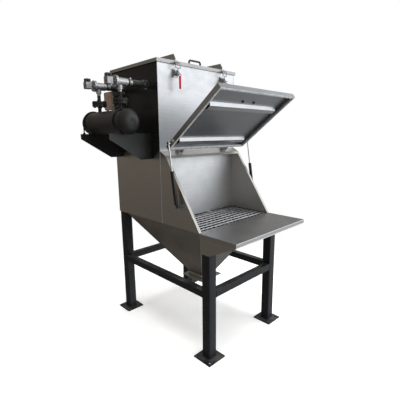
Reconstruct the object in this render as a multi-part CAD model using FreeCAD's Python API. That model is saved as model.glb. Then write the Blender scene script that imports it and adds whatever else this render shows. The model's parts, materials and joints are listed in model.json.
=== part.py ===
"""Bag dump station: a sack tipping hood with a pulse-jet dust filter above it, on four legs.

Millimetres, +Z up, the operator stands on the -Y side. The origin lies on the floor at the
centre of the anchor pattern of the four feet.
"""
import math
import os

import FreeCAD
import Part
from FreeCAD import Vector

# ---------------------------------------------------------------- driving dimensions
# housing
BODY_WIDTH = 900.0            # outside width of hood and filter housing
HOUSING_FRONT = -80.0         # front face of the filter housing
HOUSING_BACK = 590.0          # rear face of the filter housing
BASE_Z = 1020.0               # underside of the hood, on the hopper's rim
SEAM_Z = 1610.0               # seam between hood and filter housing
HOUSING_TOP = 2296.0          # upper edge of the housing walls
SHEET = 3.0                   # panel thickness

# hood front
LEDGE_FRONT = -147.0          # front edge of the sloping ledge over the door opening
LEDGE_DROP = 35.0             # fall of that ledge
SILL_Y = -519.0               # foot of the sloping door opening
SILL_RISE = 3.0               # foot of the opening above the underside
FRAME_FLANGE = 24.0           # width of the flanges around the opening
BAFFLE_Y = -60.0              # front face of the wall behind the sack chute
BAFFLE_TOP = 1575.0

# shelf
SHELF_FRONT = -866.0
SHELF_LIP = 33.0
SHELF_INNER = -500.0          # rear edge of the shelf plate, inside the hood
BRACKET_SHEET = 4.0
BRACKET_DEPTH = 155.0
BRACKET_NOSE = 35.0
BRACKET_REACH = 11.0          # shelf bracket stops this far behind the shelf's front

# stand
LEG_TUBE = 80.0
LEG_WALL = 4.0
LEG_INSET = 14.0              # leg's outer face inside the hood's side
HOPPER_CLEAR = 4.5            # front legs' inner faces ahead of the hopper's rim
LEG_CENTRE_Y = -SILL_Y + HOPPER_CLEAR + LEG_TUBE / 2
BRACE_TUBE = 60.0
BRACE_WALL = 3.0
BRACE_TOP = 570.0
FOOT_SIZE = 175.0
FOOT_THICK = 10.0
ANCHOR_OFFSET = 60.0          # anchor holes from the leg's centre, along X and along Y
ANCHOR_R = 9.0

# hopper
HOPPER_BACK = 445.0
OUTLET_Y = -84.0
OUTLET_HALF = 88.0            # outside half width of the square spout
SPOUT_TOP = 468.0
SPOUT_BOTTOM = 433.0
OUTLET_FLANGE = 260.0
OUTLET_FLANGE_THICK = 6.0
OUTLET_BOLT_SPACING = 220.0
OUTLET_BOLT_R = 5.5

# sack grate
GRATE_HALF = BODY_WIDTH / 2 - 26
GRATE_TOP = 1021.0
GRATE_BAR_H = 20.0
GRATE_BAR_T = 5.0
GRATE_PITCH_X = 50.0
GRATE_PITCH_Y = 50.0
GRATE_ROD_R = 6.0             # long rods, along X
GRATE_CROSS_R = 4.0           # cross rods, welded under the long ones
GRATE_SLOT = 30.0             # open slot between the grate and the baffle
GRATE_GAP = 2.0               # gap between the grate and the walls beside it
GRATE_REST = 0.3              # gap between the grate and its rails
RAIL_H = 26.0
RAIL_T = 12.0
RAIL_INSET = 22.0
LUG_X = 120.0
LUG_HALF = 20.0
LUG_HOLE_R = 9.0

# filter
TUBE_SHEET_Z = 1985.0
TUBE_SHEET_T = 5.0
CARTRIDGE_R = 130.0
CARTRIDGE_WALL = 6.0
CARTRIDGE_BORE_R = 80.0
CARTRIDGE_GAP = 15.0          # foot of the cartridges above the baffle
CARTRIDGE_CAP = 10.0
CARTRIDGE_X = 215.0
PULSE_ROWS = (62.0, 392.0)    # Y of the two pulse lines
PULSE_Z = 2126.0
PIPE_R = 17.0
PIPE_WALL = 2.5
PIPE_END_X = BODY_WIDTH / 2 - 70
NOZZLE_R = 5.0
STUB_LENGTH = 55.0
BULKHEAD_R = 34.0
BULKHEAD_T = 7.0
HOLE_GAP = 1.0
DUCT_R = 100.0
DUCT_LENGTH = 60.0
DUCT_Z = 2140.0
DUCT_X = 150.0
DUCT_WALL = 2.0
DUCT_FLANGE_R = 125.0

# lid
LID_TOP = HOUSING_TOP + 10
LID_BOTTOM = HOUSING_TOP - 16
LID_OVERHANG = 11.0
LID_GAP = 0.4                 # gap between gasket and wall edge, under the closed lid
GASKET_HALF = 7.0
LID_HINGE_X = 300.0
LID_HINGE_Y = HOUSING_BACK + 23
LID_HINGE_Z = HOUSING_TOP - 8
LID_HINGE_R = 7.0
HANDLE_SPAN = 130.0
HANDLE_RISE = 45.0
HANDLE_R = 8.0
LID_HANDLE_Y = -20.0

# lid clamps, hung from the housing's front and upper edge
CLAMP_X = 275.0
CLAMP_WIDTH = 56.0
CLAMP_BOTTOM = HOUSING_TOP - 115
CLAMP_TOP = HOUSING_TOP - 51
CLAMP_PLATE = 4.0
CLAMP_PIVOT = (HOUSING_FRONT - 28, HOUSING_TOP - 81)
HOOK_PIVOT = (HOUSING_FRONT - 41, HOUSING_TOP - 94)
HOOK_ROD_R = 4.0
HOOK_HALF = 23.0
EAR_T = 4.0
EAR_X = 14.0                  # inner face of the base's ears from the clamp's centre
CLAMP_GAP = 0.4
LEVER_T = 3.5
GRIP_R = 9.0
GRIP_TOP = HOUSING_TOP - 97
GRIP_BOTTOM = HOUSING_TOP - 208
GRIP_Y = HOUSING_FRONT - 61
PIN_R = 4.0
PIN_GAP = 0.06
HOOK_Z = HOUSING_TOP - 6      # height of the hook's bar in front of the keeper
KEEPER_HALF = 14.0
KEEPER_T = 6.0
KEEPER_LIP = 16.0
RIB_TOP = LID_TOP + 55
RIB_BACK = 200.0
RIB_T = 5.0
RIB_FOOT = 50.0

# door
DOOR_HALF = BODY_WIDTH / 2 + 6
DOOR_LENGTH = 674.0
DOOR_DEPTH = 36.0
DOOR_SHEET = 2.5
DOOR_GAP = 4.0                # closed door's flange above the frame flanges
DOOR_LAP = 10.0               # door beyond the top of the opening
DOOR_OPEN = 93.0              # swing from closed to fully open
HINGE_Y = -150.0
HINGE_Z = 1625.0
HINGE_X = 272.0
KNUCKLE_R = 9.0
KNUCKLE_HALF = 14.0
HINGE_ARM = 7.0
HINGE_LEAF_HALF = 30.0
SEAL_WIDTH = 14.0
SEAL_DEPTH = 15.6
SEAL_GAP = 0.4
STIFFENER_V = (77.0, 477.0)
STIFFENER_HALF = DOOR_HALF - 61
STIFFENER_FOOT = 37.0         # half width at the pan
STIFFENER_CROWN = 18.5        # half width of the crown
STIFFENER_RISE = 25.0
STIFFENER_BRIM = 8.0
DOOR_HANDLE_V = 538.0
DOOR_HANDLE_SPAN = 132.0
DOOR_HANDLE_RISE = 45.0

# gas struts, outside the hood's cheeks
STRUT_X = BODY_WIDTH / 2 + 32
STRUT_FOOT = (-305.0, 1196.0)
STRUT_V = 64.0                # upper anchor in the door's own length and depth
STRUT_W = 18.0
STRUT_R = 14.0
STRUT_BORE_R = 12.0
STRUT_BODY = 273.0
STRUT_CAP = 12.0
ROD_R = 6.0
PISTON_H = 14.0
PISTON_GAP = 0.1
ROD_SLIDE_GAP = 0.05
EYE_R = 12.0
EYE_HALF = 7.0
NECK_R = 6.5
NECK_SHOW = 3.0
STUD_R = 5.0
ANCHOR_REACH = 60.0           # foot plate in front of the strut's stud
STUD_GAP = 0.5

# air tank and pulse valves, measured out from the housing's side
TANK_X = -BODY_WIDTH / 2 - 242
TANK_Z = 1835.0
TANK_R = 92.0
TANK_WALL = 4.0
TANK_FRONT = -40.0
TANK_BACK = 537.0
TANK_DISH = 41.0
GUSSET_ROWS = (20.0, 486.0)
GUSSET_T = 5.0
GUSSET_TOP = TANK_Z - TANK_R + 7
GUSSET_OUTER = TANK_X - 136
GUSSET_BOTTOM = 1545.0
GUSSET_NOSE_Z = 1708.0
GUSSET_KNEE_X = -BODY_WIDTH / 2 - 112
GUSSET_FLANGE = 88.0
GUSSET_CHAMFER = 67.0
SADDLE_GAP = 0.5
U_BOLT_R = 5.0
U_BOLT_HALF = TANK_R + U_BOLT_R + 0.5
TAB_SIZE = 34.0
TAB_T = 6.0
RISER_R = 14.0
RISER_WALL = 3.0
UNION_R = 57.0
UNION_BOTTOM = 1968.0
UNION_HALF_T = 18.0
UNION_SEAL = 3.0
UNION_BOLT_PCD = 80.0
UNION_BOLT_R = 5.0
VALVE_HUB_R = 21.0
VALVE_R = 30.0
VALVE_BOTTOM = 2092.0
VALVE_LEFT = TANK_X - 25
VALVE_RIGHT = TANK_X + 67
COVER_R = 43.0
COVER_T = 20.0
SOLENOID_LENGTH = 50.0
SOLENOID_HALF = 26.0
SOLENOID_STEM = 14.0
SPIGOT_LENGTH = 42.0
HOSE_R = 25.0
HOSE_GAP = 0.2
CLAMP_BAND = 22.0
BAND_T = 1.5
CONTROLLER_X = (-BODY_WIDTH / 2 - 87, -BODY_WIDTH / 2 - 68)
CONTROLLER_Y = (450.0, 585.0)
CONTROLLER_Z = (1955.0, 2110.0)
CONTROLLER_LID = 8.0          # cover beyond the case
CONTROLLER_EDGE = 4.0         # case showing around the cover, and its corner radius
CONTROLLER_INSET = 25.0       # spacers and glands from the case's edges
GLAND_R = 8.0
COCK_Y = 250.0
INLET_R = 9.5
INLET_BOSS_R = 18.0
INLET_LENGTH = 25.0

# ---------------------------------------------------------------- derived sizes
SIDE = BODY_WIDTH / 2
INSIDE = SIDE - SHEET
LEDGE_Z = SEAM_Z - LEDGE_DROP
SILL_Z = BASE_Z + SILL_RISE
LEG_OUTER = SIDE - LEG_INSET
LEG_CENTRE_X = LEG_OUTER - LEG_TUBE / 2
OPENING_RUN = math.hypot(LEDGE_FRONT - SILL_Y, LEDGE_Z - SILL_Z)
SLOPE_Y = (SILL_Y - LEDGE_FRONT) / OPENING_RUN      # unit vector down the opening
SLOPE_Z = (SILL_Z - LEDGE_Z) / OPENING_RUN


# ---------------------------------------------------------------- helpers
def block(x0, x1, y0, y1, z0, z1):
    """Box between two corners."""
    return Part.makeBox(x1 - x0, y1 - y0, z1 - z0, Vector(x0, y0, z0))


def rod(start, direction, radius, length):
    """Cylinder from a start point along a direction."""
    return Part.makeCylinder(radius, length, Vector(*start), Vector(*direction))


def profile_x(points, x0, x1):
    """Prism with a YZ outline, from x0 to x1."""
    wire = Part.makePolygon([Vector(x0, y, z) for y, z in points + points[:1]])
    return Part.Face(wire).extrude(Vector(x1 - x0, 0, 0))


def profile_y(points, y0, y1):
    """Prism with an XZ outline, from y0 to y1."""
    wire = Part.makePolygon([Vector(x, y0, z) for x, z in points + points[:1]])
    return Part.Face(wire).extrude(Vector(0, y1 - y0, 0))


def mirrored(shape):
    """The same shape on the other side of the station."""
    return shape.mirror(Vector(0, 0, 0), Vector(1, 0, 0))


def both_sides(shape):
    """A shape and its mirror image as two separate solids."""
    return Part.makeCompound([shape, mirrored(shape)])


def fused(shapes):
    """Several shapes welded into one solid."""
    return shapes[0].multiFuse(shapes[1:]).removeSplitter()


def save(name, shape):
    """Write one named piece."""
    shape.exportStep("parts/%s.step" % name)


# ---------------------------------------------------------------- stand
def legs():
    """Four square tubes; the rear pair stops under the housing's floor sheet."""
    tubes = []
    for side in (-1, 1):
        for row, top in ((-1, BASE_Z), (1, BASE_Z - SHEET)):
            x = side * LEG_CENTRE_X
            y = row * LEG_CENTRE_Y
            half = LEG_TUBE / 2
            core = half - LEG_WALL
            tube = block(x - half, x + half, y - half, y + half, FOOT_THICK, top)
            tubes.append(tube.cut(block(x - core, x + core, y - core, y + core, FOOT_THICK, top)))
    return Part.makeCompound(tubes)


def foot_plates():
    """A square plate under each leg, with two anchor holes on its diagonal."""
    plates = []
    half = FOOT_SIZE / 2
    for side in (-1, 1):
        for row in (-1, 1):
            x = side * LEG_CENTRE_X
            y = row * LEG_CENTRE_Y
            plate = block(x - half, x + half, y - half, y + half, 0, FOOT_THICK)
            for way in (-1, 1):
                hole_x = x + side * way * ANCHOR_OFFSET
                hole_y = y + row * way * ANCHOR_OFFSET
                plate = plate.cut(rod((hole_x, hole_y, 0), (0, 0, 1), ANCHOR_R, FOOT_THICK))
            plates.append(plate)
    return Part.makeCompound(plates)


def square_bar(x0, x1, y0, y1, along):
    """Hollow brace tube between the legs; along is 'x' or 'y'."""
    z0 = BRACE_TOP - BRACE_TUBE
    outer = block(x0, x1, y0, y1, z0, BRACE_TOP)
    wall_x = BRACE_WALL if along == "y" else 0
    wall_y = BRACE_WALL if along == "x" else 0
    core = block(x0 + wall_x, x1 - wall_x, y0 + wall_y, y1 - wall_y,
                 z0 + BRACE_WALL, BRACE_TOP - BRACE_WALL)
    return outer.cut(core)


def stand_braces():
    """Front, rear and side braces, flush with the outer faces of the legs."""
    reach_x = LEG_OUTER - LEG_TUBE
    face_y = LEG_CENTRE_Y + LEG_TUBE / 2
    reach_y = LEG_CENTRE_Y - LEG_TUBE / 2
    front = square_bar(-reach_x, reach_x, -face_y, -face_y + BRACE_TUBE, "x")
    rear = square_bar(-reach_x, reach_x, face_y - BRACE_TUBE, face_y, "x")
    left = square_bar(-LEG_OUTER, -LEG_OUTER + BRACE_TUBE, -reach_y, reach_y, "y")
    return Part.makeCompound([front, rear, left, mirrored(left)])


# ---------------------------------------------------------------- hopper
def rect_wire(half, y0, y1, z):
    """Rectangle at height z."""
    corners = [Vector(-half, y0, z), Vector(half, y0, z), Vector(half, y1, z), Vector(-half, y1, z)]
    return Part.makePolygon(corners + corners[:1])


def hopper_space(inset):
    """The hopper's pyramid, inset from the outside by a wall."""
    top = rect_wire(SIDE - inset, SILL_Y + inset, HOPPER_BACK - inset, BASE_Z)
    half = OUTLET_HALF - inset
    low = rect_wire(half, OUTLET_Y - half, OUTLET_Y + half, SPOUT_TOP)
    return Part.makeLoft([top, low], True)


def hopper():
    """Four-sided sheet hopper, open above and below."""
    return hopper_space(0).cut(hopper_space(SHEET))


def hopper_outlet():
    """Square spout and its bolting flange."""
    outer = OUTLET_HALF
    inner = OUTLET_HALF - SHEET
    edge = OUTLET_FLANGE / 2
    low = SPOUT_BOTTOM - OUTLET_FLANGE_THICK
    spout = block(-outer, outer, OUTLET_Y - outer, OUTLET_Y + outer, SPOUT_BOTTOM, SPOUT_TOP)
    flange = block(-edge, edge, OUTLET_Y - edge, OUTLET_Y + edge, low, SPOUT_BOTTOM)
    body = fused([spout, flange])
    body = body.cut(block(-inner, inner, OUTLET_Y - inner, OUTLET_Y + inner, low, SPOUT_TOP))
    reach = OUTLET_BOLT_SPACING / 2
    for x in (-reach, reach):
        for y in (-reach, reach):
            body = body.cut(rod((x, OUTLET_Y + y, low), (0, 0, 1), OUTLET_BOLT_R, OUTLET_FLANGE_THICK))
    return body


# ---------------------------------------------------------------- hood
def on_slope(run, depth):
    """Point on the opening plane: run down from its top, depth inward behind it."""
    return (LEDGE_FRONT + run * SLOPE_Y - depth * SLOPE_Z, LEDGE_Z + run * SLOPE_Z + depth * SLOPE_Y)


def hood_wing():
    """Left cheek of the hood, with its flange folded inward along the opening."""
    outline = [(HOUSING_FRONT, BASE_Z), (HOUSING_FRONT, SEAM_Z), (LEDGE_FRONT, LEDGE_Z),
               (SILL_Y, SILL_Z), (SILL_Y, BASE_Z)]
    cheek = profile_x(outline, -SIDE, -INSIDE)
    strip = [on_slope(SHEET, 0), on_slope(OPENING_RUN - SHEET, 0),
             on_slope(OPENING_RUN - SHEET, SHEET), on_slope(SHEET, SHEET)]
    flange = profile_x(strip, -INSIDE, -SIDE + FRAME_FLANGE)
    return fused([cheek, flange])


def header_ledge():
    """Sloping ledge between housing and door opening, with the flange over the opening."""
    back = HOUSING_FRONT
    top = [(back, SEAM_Z), (LEDGE_FRONT, LEDGE_Z), on_slope(FRAME_FLANGE, 0),
           on_slope(FRAME_FLANGE, SHEET), on_slope(SHEET, SHEET), (back, SEAM_Z - SHEET)]
    ledge = profile_x(top, -INSIDE, INSIDE)
    corner = profile_x([on_slope(0, 0), on_slope(FRAME_FLANGE * 2, 0),
                        on_slope(FRAME_FLANGE * 2, SHEET), on_slope(0, SHEET)],
                       -INSIDE, -SIDE + FRAME_FLANGE)
    return ledge.cut(corner).cut(mirrored(corner))


def shelf():
    """Sack shelf: a plate folded down at its front and its two ends."""
    plate = block(-SIDE, SIDE, SHELF_FRONT, SILL_Y, BASE_Z, SILL_Z)
    sill = block(-INSIDE, INSIDE, SILL_Y, SHELF_INNER, BASE_Z, SILL_Z)
    low = SILL_Z - SHELF_LIP
    front = block(-SIDE, SIDE, SHELF_FRONT, SHELF_FRONT + SHEET, low, SILL_Z)
    left = block(-SIDE, -INSIDE, SHELF_FRONT, SILL_Y, low, SILL_Z)
    return fused([plate, sill, front, left, mirrored(left)])


def shelf_brackets():
    """A gusset on the outer face of each front leg, under the shelf."""
    reach = SHELF_FRONT + BRACKET_REACH
    front_face = -LEG_CENTRE_Y - LEG_TUBE / 2
    outline = [(SILL_Y, BASE_Z), (SILL_Y, BASE_Z - BRACKET_DEPTH), (front_face, BASE_Z - BRACKET_DEPTH),
               (reach, BASE_Z - BRACKET_NOSE), (reach, BASE_Z)]
    return both_sides(profile_x(outline, -LEG_OUTER - BRACKET_SHEET, -LEG_OUTER))


def baffle():
    """Wall between the sack chute and the filter chamber; air passes over its folded top."""
    wall = block(-INSIDE, INSIDE, BAFFLE_Y, BAFFLE_Y + SHEET, BASE_Z, BAFFLE_TOP)
    fold = block(-INSIDE, INSIDE, BAFFLE_Y, BAFFLE_Y + FRAME_FLANGE, BAFFLE_TOP - SHEET, BAFFLE_TOP)
    return fused([wall, fold])


def grate():
    """Lift-out sack grate: flat bar frame, long rods over cross rods, and two lifting lugs."""
    z0 = GRATE_TOP - GRATE_BAR_H
    y0 = SHELF_INNER + GRATE_GAP
    y1 = BAFFLE_Y - GRATE_SLOT
    rim = block(-GRATE_HALF, GRATE_HALF, y0, y1, z0, GRATE_TOP)
    hole = block(-GRATE_HALF + GRATE_BAR_T, GRATE_HALF - GRATE_BAR_T,
                 y0 + GRATE_BAR_T, y1 - GRATE_BAR_T, z0, GRATE_TOP)
    pieces = [rim.cut(hole)]
    cross_z = GRATE_TOP - 2 * GRATE_ROD_R - GRATE_CROSS_R / 2
    half_count = int((GRATE_HALF - GRATE_BAR_T) / GRATE_PITCH_X)
    for i in range(-half_count, half_count + 1):
        start = (i * GRATE_PITCH_X, y0 + GRATE_BAR_T / 2, cross_z)
        pieces.append(rod(start, (0, 1, 0), GRATE_CROSS_R, y1 - y0 - GRATE_BAR_T))
    rows = int((y1 - y0) / GRATE_PITCH_Y)
    span = 2 * GRATE_HALF - GRATE_BAR_T
    for j in range(1, rows):
        y = y0 + j * (y1 - y0) / rows
        start = (-span / 2, y, GRATE_TOP - GRATE_ROD_R)
        pieces.append(rod(start, (1, 0, 0), GRATE_ROD_R, span))
    for x in (-LUG_X, LUG_X):
        plate = block(x - LUG_HALF, x + LUG_HALF, y1 - GRATE_BAR_T, BAFFLE_Y - GRATE_GAP,
                      GRATE_TOP - GRATE_BAR_T, GRATE_TOP)
        eye = rod((x, y1 + GRATE_SLOT / 2, GRATE_TOP - GRATE_BAR_T), (0, 0, 1), LUG_HOLE_R, GRATE_BAR_T)
        pieces.append(plate.cut(eye))
    return fused(pieces)


def grate_rails():
    """Two flat bars across the hopper's mouth that carry the grate."""
    top = GRATE_TOP - GRATE_BAR_H - GRATE_REST
    rows = (SHELF_INNER + GRATE_GAP + RAIL_INSET, BAFFLE_Y - GRATE_SLOT - RAIL_INSET)
    space = hopper_space(SHEET)
    bars = []
    for y in rows:
        bar = block(-SIDE, SIDE, y - RAIL_T / 2, y + RAIL_T / 2, top - RAIL_H, top)
        bars.append(bar.common(space))
    return Part.makeCompound(bars)


# ---------------------------------------------------------------- housing panels
def lower_side():
    """Left lower side panel, behind the hood's cheek."""
    return block(-SIDE, -INSIDE, HOUSING_FRONT, HOUSING_BACK, BASE_Z, SEAM_Z)


def lower_rear():
    """Lower rear panel, with the floor sheet folded forward over the rear legs."""
    wall = block(-INSIDE, INSIDE, HOUSING_BACK - SHEET, HOUSING_BACK, BASE_Z - SHEET, SEAM_Z)
    floor = block(-INSIDE, INSIDE, HOPPER_BACK, HOUSING_BACK, BASE_Z - SHEET, BASE_Z)
    return fused([wall, floor])


def upper_side():
    """Left upper side panel."""
    return block(-SIDE, -INSIDE, HOUSING_FRONT, HOUSING_BACK, SEAM_Z, HOUSING_TOP)


def upper_left_panel():
    """Valve side of the housing, with a hole for each pulse line."""
    panel = upper_side()
    for y in PULSE_ROWS:
        panel = panel.cut(rod((-SIDE, y, PULSE_Z), (1, 0, 0), PIPE_R + HOLE_GAP, SHEET))
    return panel


def upper_front_panel():
    """Front panel of the filter housing."""
    return block(-INSIDE, INSIDE, HOUSING_FRONT, HOUSING_FRONT + SHEET, SEAM_Z, HOUSING_TOP)


def upper_rear_panel():
    """Rear panel, with the clean air outlet hole."""
    panel = block(-INSIDE, INSIDE, HOUSING_BACK - SHEET, HOUSING_BACK, SEAM_Z, HOUSING_TOP)
    hole = rod((DUCT_X, HOUSING_BACK - SHEET, DUCT_Z), (0, 1, 0), DUCT_R - DUCT_WALL, SHEET)
    return panel.cut(hole)


def clean_air_outlet():
    """Round spigot and welding flange on the rear panel."""
    base = (DUCT_X, HOUSING_BACK, DUCT_Z)
    spigot = rod(base, (0, 1, 0), DUCT_R, DUCT_LENGTH)
    flange = rod(base, (0, 1, 0), DUCT_FLANGE_R, SHEET)
    return fused([spigot, flange]).cut(rod(base, (0, 1, 0), DUCT_R - DUCT_WALL, DUCT_LENGTH))


# ---------------------------------------------------------------- filter
def cartridge_places():
    """Centres of the four cartridges."""
    return [(x, y) for x in (-CARTRIDGE_X, CARTRIDGE_X) for y in PULSE_ROWS]


def tube_sheet():
    """Plate that carries the cartridges and parts dusty air from clean air."""
    plate = block(-INSIDE, INSIDE, HOUSING_FRONT + SHEET, HOUSING_BACK - SHEET,
                  TUBE_SHEET_Z, TUBE_SHEET_Z + TUBE_SHEET_T)
    for x, y in cartridge_places():
        plate = plate.cut(rod((x, y, TUBE_SHEET_Z), (0, 0, 1), CARTRIDGE_BORE_R, TUBE_SHEET_T))
    return plate


def filter_cartridges():
    """Pleated cartridges hung under the tube sheet, each with a blind foot."""
    tubes = []
    for x, y in cartridge_places():
        low = BAFFLE_TOP + CARTRIDGE_GAP
        body = rod((x, y, low), (0, 0, 1), CARTRIDGE_R, TUBE_SHEET_Z - low)
        core_z = low + CARTRIDGE_CAP
        core_top = TUBE_SHEET_Z - CARTRIDGE_CAP
        core = rod((x, y, core_z), (0, 0, 1), CARTRIDGE_R - CARTRIDGE_WALL, core_top - core_z)
        mouth = rod((x, y, core_top), (0, 0, 1), CARTRIDGE_BORE_R, CARTRIDGE_CAP)
        tubes.append(body.cut(core).cut(mouth))
    return Part.makeCompound(tubes)


def blow_pipes():
    """Pulse pipe over each row, with nozzles, wall flange and the stub outside."""
    pipes = []
    for y in PULSE_ROWS:
        start = (-SIDE - STUB_LENGTH, y, PULSE_Z)
        length = PIPE_END_X + SIDE + STUB_LENGTH
        outer = rod(start, (1, 0, 0), PIPE_R, length)
        flange = rod((-SIDE - BULKHEAD_T, y, PULSE_Z), (1, 0, 0), BULKHEAD_R, BULKHEAD_T)
        pipe = fused([outer, flange])
        pipe = pipe.cut(rod(start, (1, 0, 0), PIPE_R - PIPE_WALL, length - PIPE_WALL))
        for x in (-CARTRIDGE_X, CARTRIDGE_X):
            pipe = pipe.cut(rod((x, y, PULSE_Z - PIPE_R), (0, 0, 1), NOZZLE_R, PIPE_R))
        pipes.append(pipe)
    return Part.makeCompound(pipes)


# ---------------------------------------------------------------- lid
def lid():
    """Shallow pan over the housing, turned down all round."""
    edge = SIDE + LID_OVERHANG
    front = HOUSING_FRONT - LID_OVERHANG
    back = HOUSING_BACK + LID_OVERHANG
    pan = block(-edge, edge, front, back, LID_BOTTOM, LID_TOP)
    core = block(-edge + SHEET, edge - SHEET, front + SHEET, back - SHEET,
                 LID_BOTTOM, LID_TOP - SHEET)
    return pan.cut(core)


def lid_gasket():
    """Rubber frame glued inside the lid, over the housing's upper edge."""
    mid = SIDE - SHEET / 2
    front = HOUSING_FRONT + SHEET / 2
    back = HOUSING_BACK - SHEET / 2
    low = HOUSING_TOP + LID_GAP
    high = LID_TOP - SHEET
    outer = block(-mid - GASKET_HALF, mid + GASKET_HALF, front - GASKET_HALF, back + GASKET_HALF, low, high)
    core = block(-mid + GASKET_HALF, mid - GASKET_HALF, front + GASKET_HALF, back - GASKET_HALF, low, high)
    return outer.cut(core)


def bridge_handle(centre_x, half_span, rise, radius):
    """Bridge handle standing on the XY plane, swept along a rounded path."""
    corner = 2 * radius
    x0 = centre_x - half_span
    x1 = centre_x + half_span
    turn = corner * (1 - math.sqrt(0.5))
    legs_up = Part.LineSegment(Vector(x0, 0, 0), Vector(x0, 0, rise - corner))
    bend_up = Part.Arc(Vector(x0, 0, rise - corner), Vector(x0 + turn, 0, rise - turn),
                       Vector(x0 + corner, 0, rise))
    bar = Part.LineSegment(Vector(x0 + corner, 0, rise), Vector(x1 - corner, 0, rise))
    bend_down = Part.Arc(Vector(x1 - corner, 0, rise), Vector(x1 - turn, 0, rise - turn),
                         Vector(x1, 0, rise - corner))
    legs_down = Part.LineSegment(Vector(x1, 0, rise - corner), Vector(x1, 0, 0))
    path = Part.Wire([c.toShape() for c in (legs_up, bend_up, bar, bend_down, legs_down)])
    ring = Part.Wire(Part.Circle(Vector(x0, 0, 0), Vector(0, 0, 1), radius).toShape())
    return path.makePipeShell([ring], True, False)


def lid_handle():
    """Bridge handle near the lid's front edge."""
    handle = bridge_handle(0, HANDLE_SPAN / 2, HANDLE_RISE, HANDLE_R)
    handle.translate(Vector(0, LID_HANDLE_Y, LID_TOP))
    return handle


def hinge_barrels(x, y, z, radius, spans, bore):
    """Hinge barrel segments on an X axis; spans are offsets from x."""
    segments = []
    for low, high in spans:
        part = rod((x + low, y, z), (1, 0, 0), radius, high - low)
        segments.append(part.cut(rod((x + low, y, z), (1, 0, 0), bore, high - low)) if bore else part)
    return segments


def lid_hinge_frames():
    """Fixed half of the lid hinges: wall plate, two barrels and the pin."""
    outer = HINGE_LEAF_HALF
    inner = KNUCKLE_HALF + CLAMP_GAP
    pieces = [block(-outer, outer, HOUSING_BACK, HOUSING_BACK + CLAMP_PLATE, LID_HINGE_Z - 75, LID_HINGE_Z - 15)]
    for low, high in ((-outer, -inner), (inner, outer)):
        arm = [(HOUSING_BACK, LID_HINGE_Z - 42), (HOUSING_BACK, LID_HINGE_Z - 24),
               (LID_HINGE_Y - 7, LID_HINGE_Z - 8), (LID_HINGE_Y - 7, LID_HINGE_Z),
               (LID_HINGE_Y + 7, LID_HINGE_Z), (LID_HINGE_Y + 7, LID_HINGE_Z - 10)]
        pieces.append(profile_x(arm, low, high))
        pieces += hinge_barrels(0, LID_HINGE_Y, LID_HINGE_Z, LID_HINGE_R, ((low, high),), 0)
    pieces.append(rod((-outer, LID_HINGE_Y, LID_HINGE_Z), (1, 0, 0), PIN_R, 2 * outer))
    hinge = fused(pieces)
    hinge.translate(Vector(-LID_HINGE_X, 0, 0))
    return both_sides(hinge)


def lid_hinge_leaves():
    """Moving half of the lid hinges, screwed to the rear rim of the lid."""
    half = KNUCKLE_HALF
    face = HOUSING_BACK + LID_OVERHANG
    plate = block(-half, half, face, face + SHEET, LID_HINGE_Z - 5, LID_TOP - 2)
    web = block(-half, half, face, LID_HINGE_Y, LID_HINGE_Z - 2, LID_HINGE_Z + 4)
    barrel = rod((-half, LID_HINGE_Y, LID_HINGE_Z), (1, 0, 0), LID_HINGE_R, 2 * half)
    leaf = fused([plate, web, barrel])
    leaf = leaf.cut(rod((-half, LID_HINGE_Y, LID_HINGE_Z), (1, 0, 0), PIN_R + PIN_GAP, 2 * half))
    leaf.translate(Vector(-LID_HINGE_X, 0, 0))
    return both_sides(leaf)


def keeper_brackets():
    """Ribbed bracket over each clamp, with the lipped keeper that stands off the lid's rim."""
    front = HOUSING_FRONT - LID_OVERHANG
    reach = HOOK_PIVOT[0] + HOOK_ROD_R + CLAMP_GAP
    low = HOOK_Z - KEEPER_LIP / 2
    rib = profile_x([(front, LID_TOP), (front, LID_TOP + 18), (front + 23, RIB_TOP),
                     (RIB_BACK / 2, RIB_TOP), (RIB_BACK, LID_TOP + SHEET), (RIB_BACK, LID_TOP)],
                    -RIB_T / 2, RIB_T / 2)
    foot = block(-RIB_FOOT / 2, RIB_FOOT / 2, front, RIB_BACK, LID_TOP, LID_TOP + CLAMP_PLATE)
    nose = block(-KEEPER_HALF, KEEPER_HALF, reach, front, low, low + KEEPER_T)
    lip = block(-KEEPER_HALF, KEEPER_HALF, reach, reach + KEEPER_T, low, low + KEEPER_LIP)
    drop = block(-KEEPER_HALF, KEEPER_HALF, front - CLAMP_PLATE, front, low, LID_TOP + CLAMP_PLATE)
    bracket = fused([rib, foot, nose, lip, drop])
    bracket.translate(Vector(-CLAMP_X, 0, 0))
    return both_sides(bracket)


# ---------------------------------------------------------------- lid clamps
def clamp_bases():
    """Base plate of each clamp, with two ears and the lever's pin."""
    half = CLAMP_WIDTH / 2
    y, z = CLAMP_PIVOT
    face = HOUSING_FRONT - CLAMP_PLATE
    pieces = [block(-half, half, face, HOUSING_FRONT, CLAMP_BOTTOM, CLAMP_TOP)]
    for x0 in (-EAR_X - EAR_T, EAR_X):
        ear = [(face, CLAMP_BOTTOM + 12), (face, CLAMP_TOP - 8), (y - 6, z + 8), (y - 9, z - 4), (y, z - 12)]
        pieces.append(profile_x(ear, x0, x0 + EAR_T))
    pieces.append(rod((-EAR_X - EAR_T, y, z), (1, 0, 0), PIN_R, 2 * (EAR_X + EAR_T)))
    base = fused(pieces)
    base.translate(Vector(-CLAMP_X, 0, 0))
    return both_sides(base)


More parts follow.
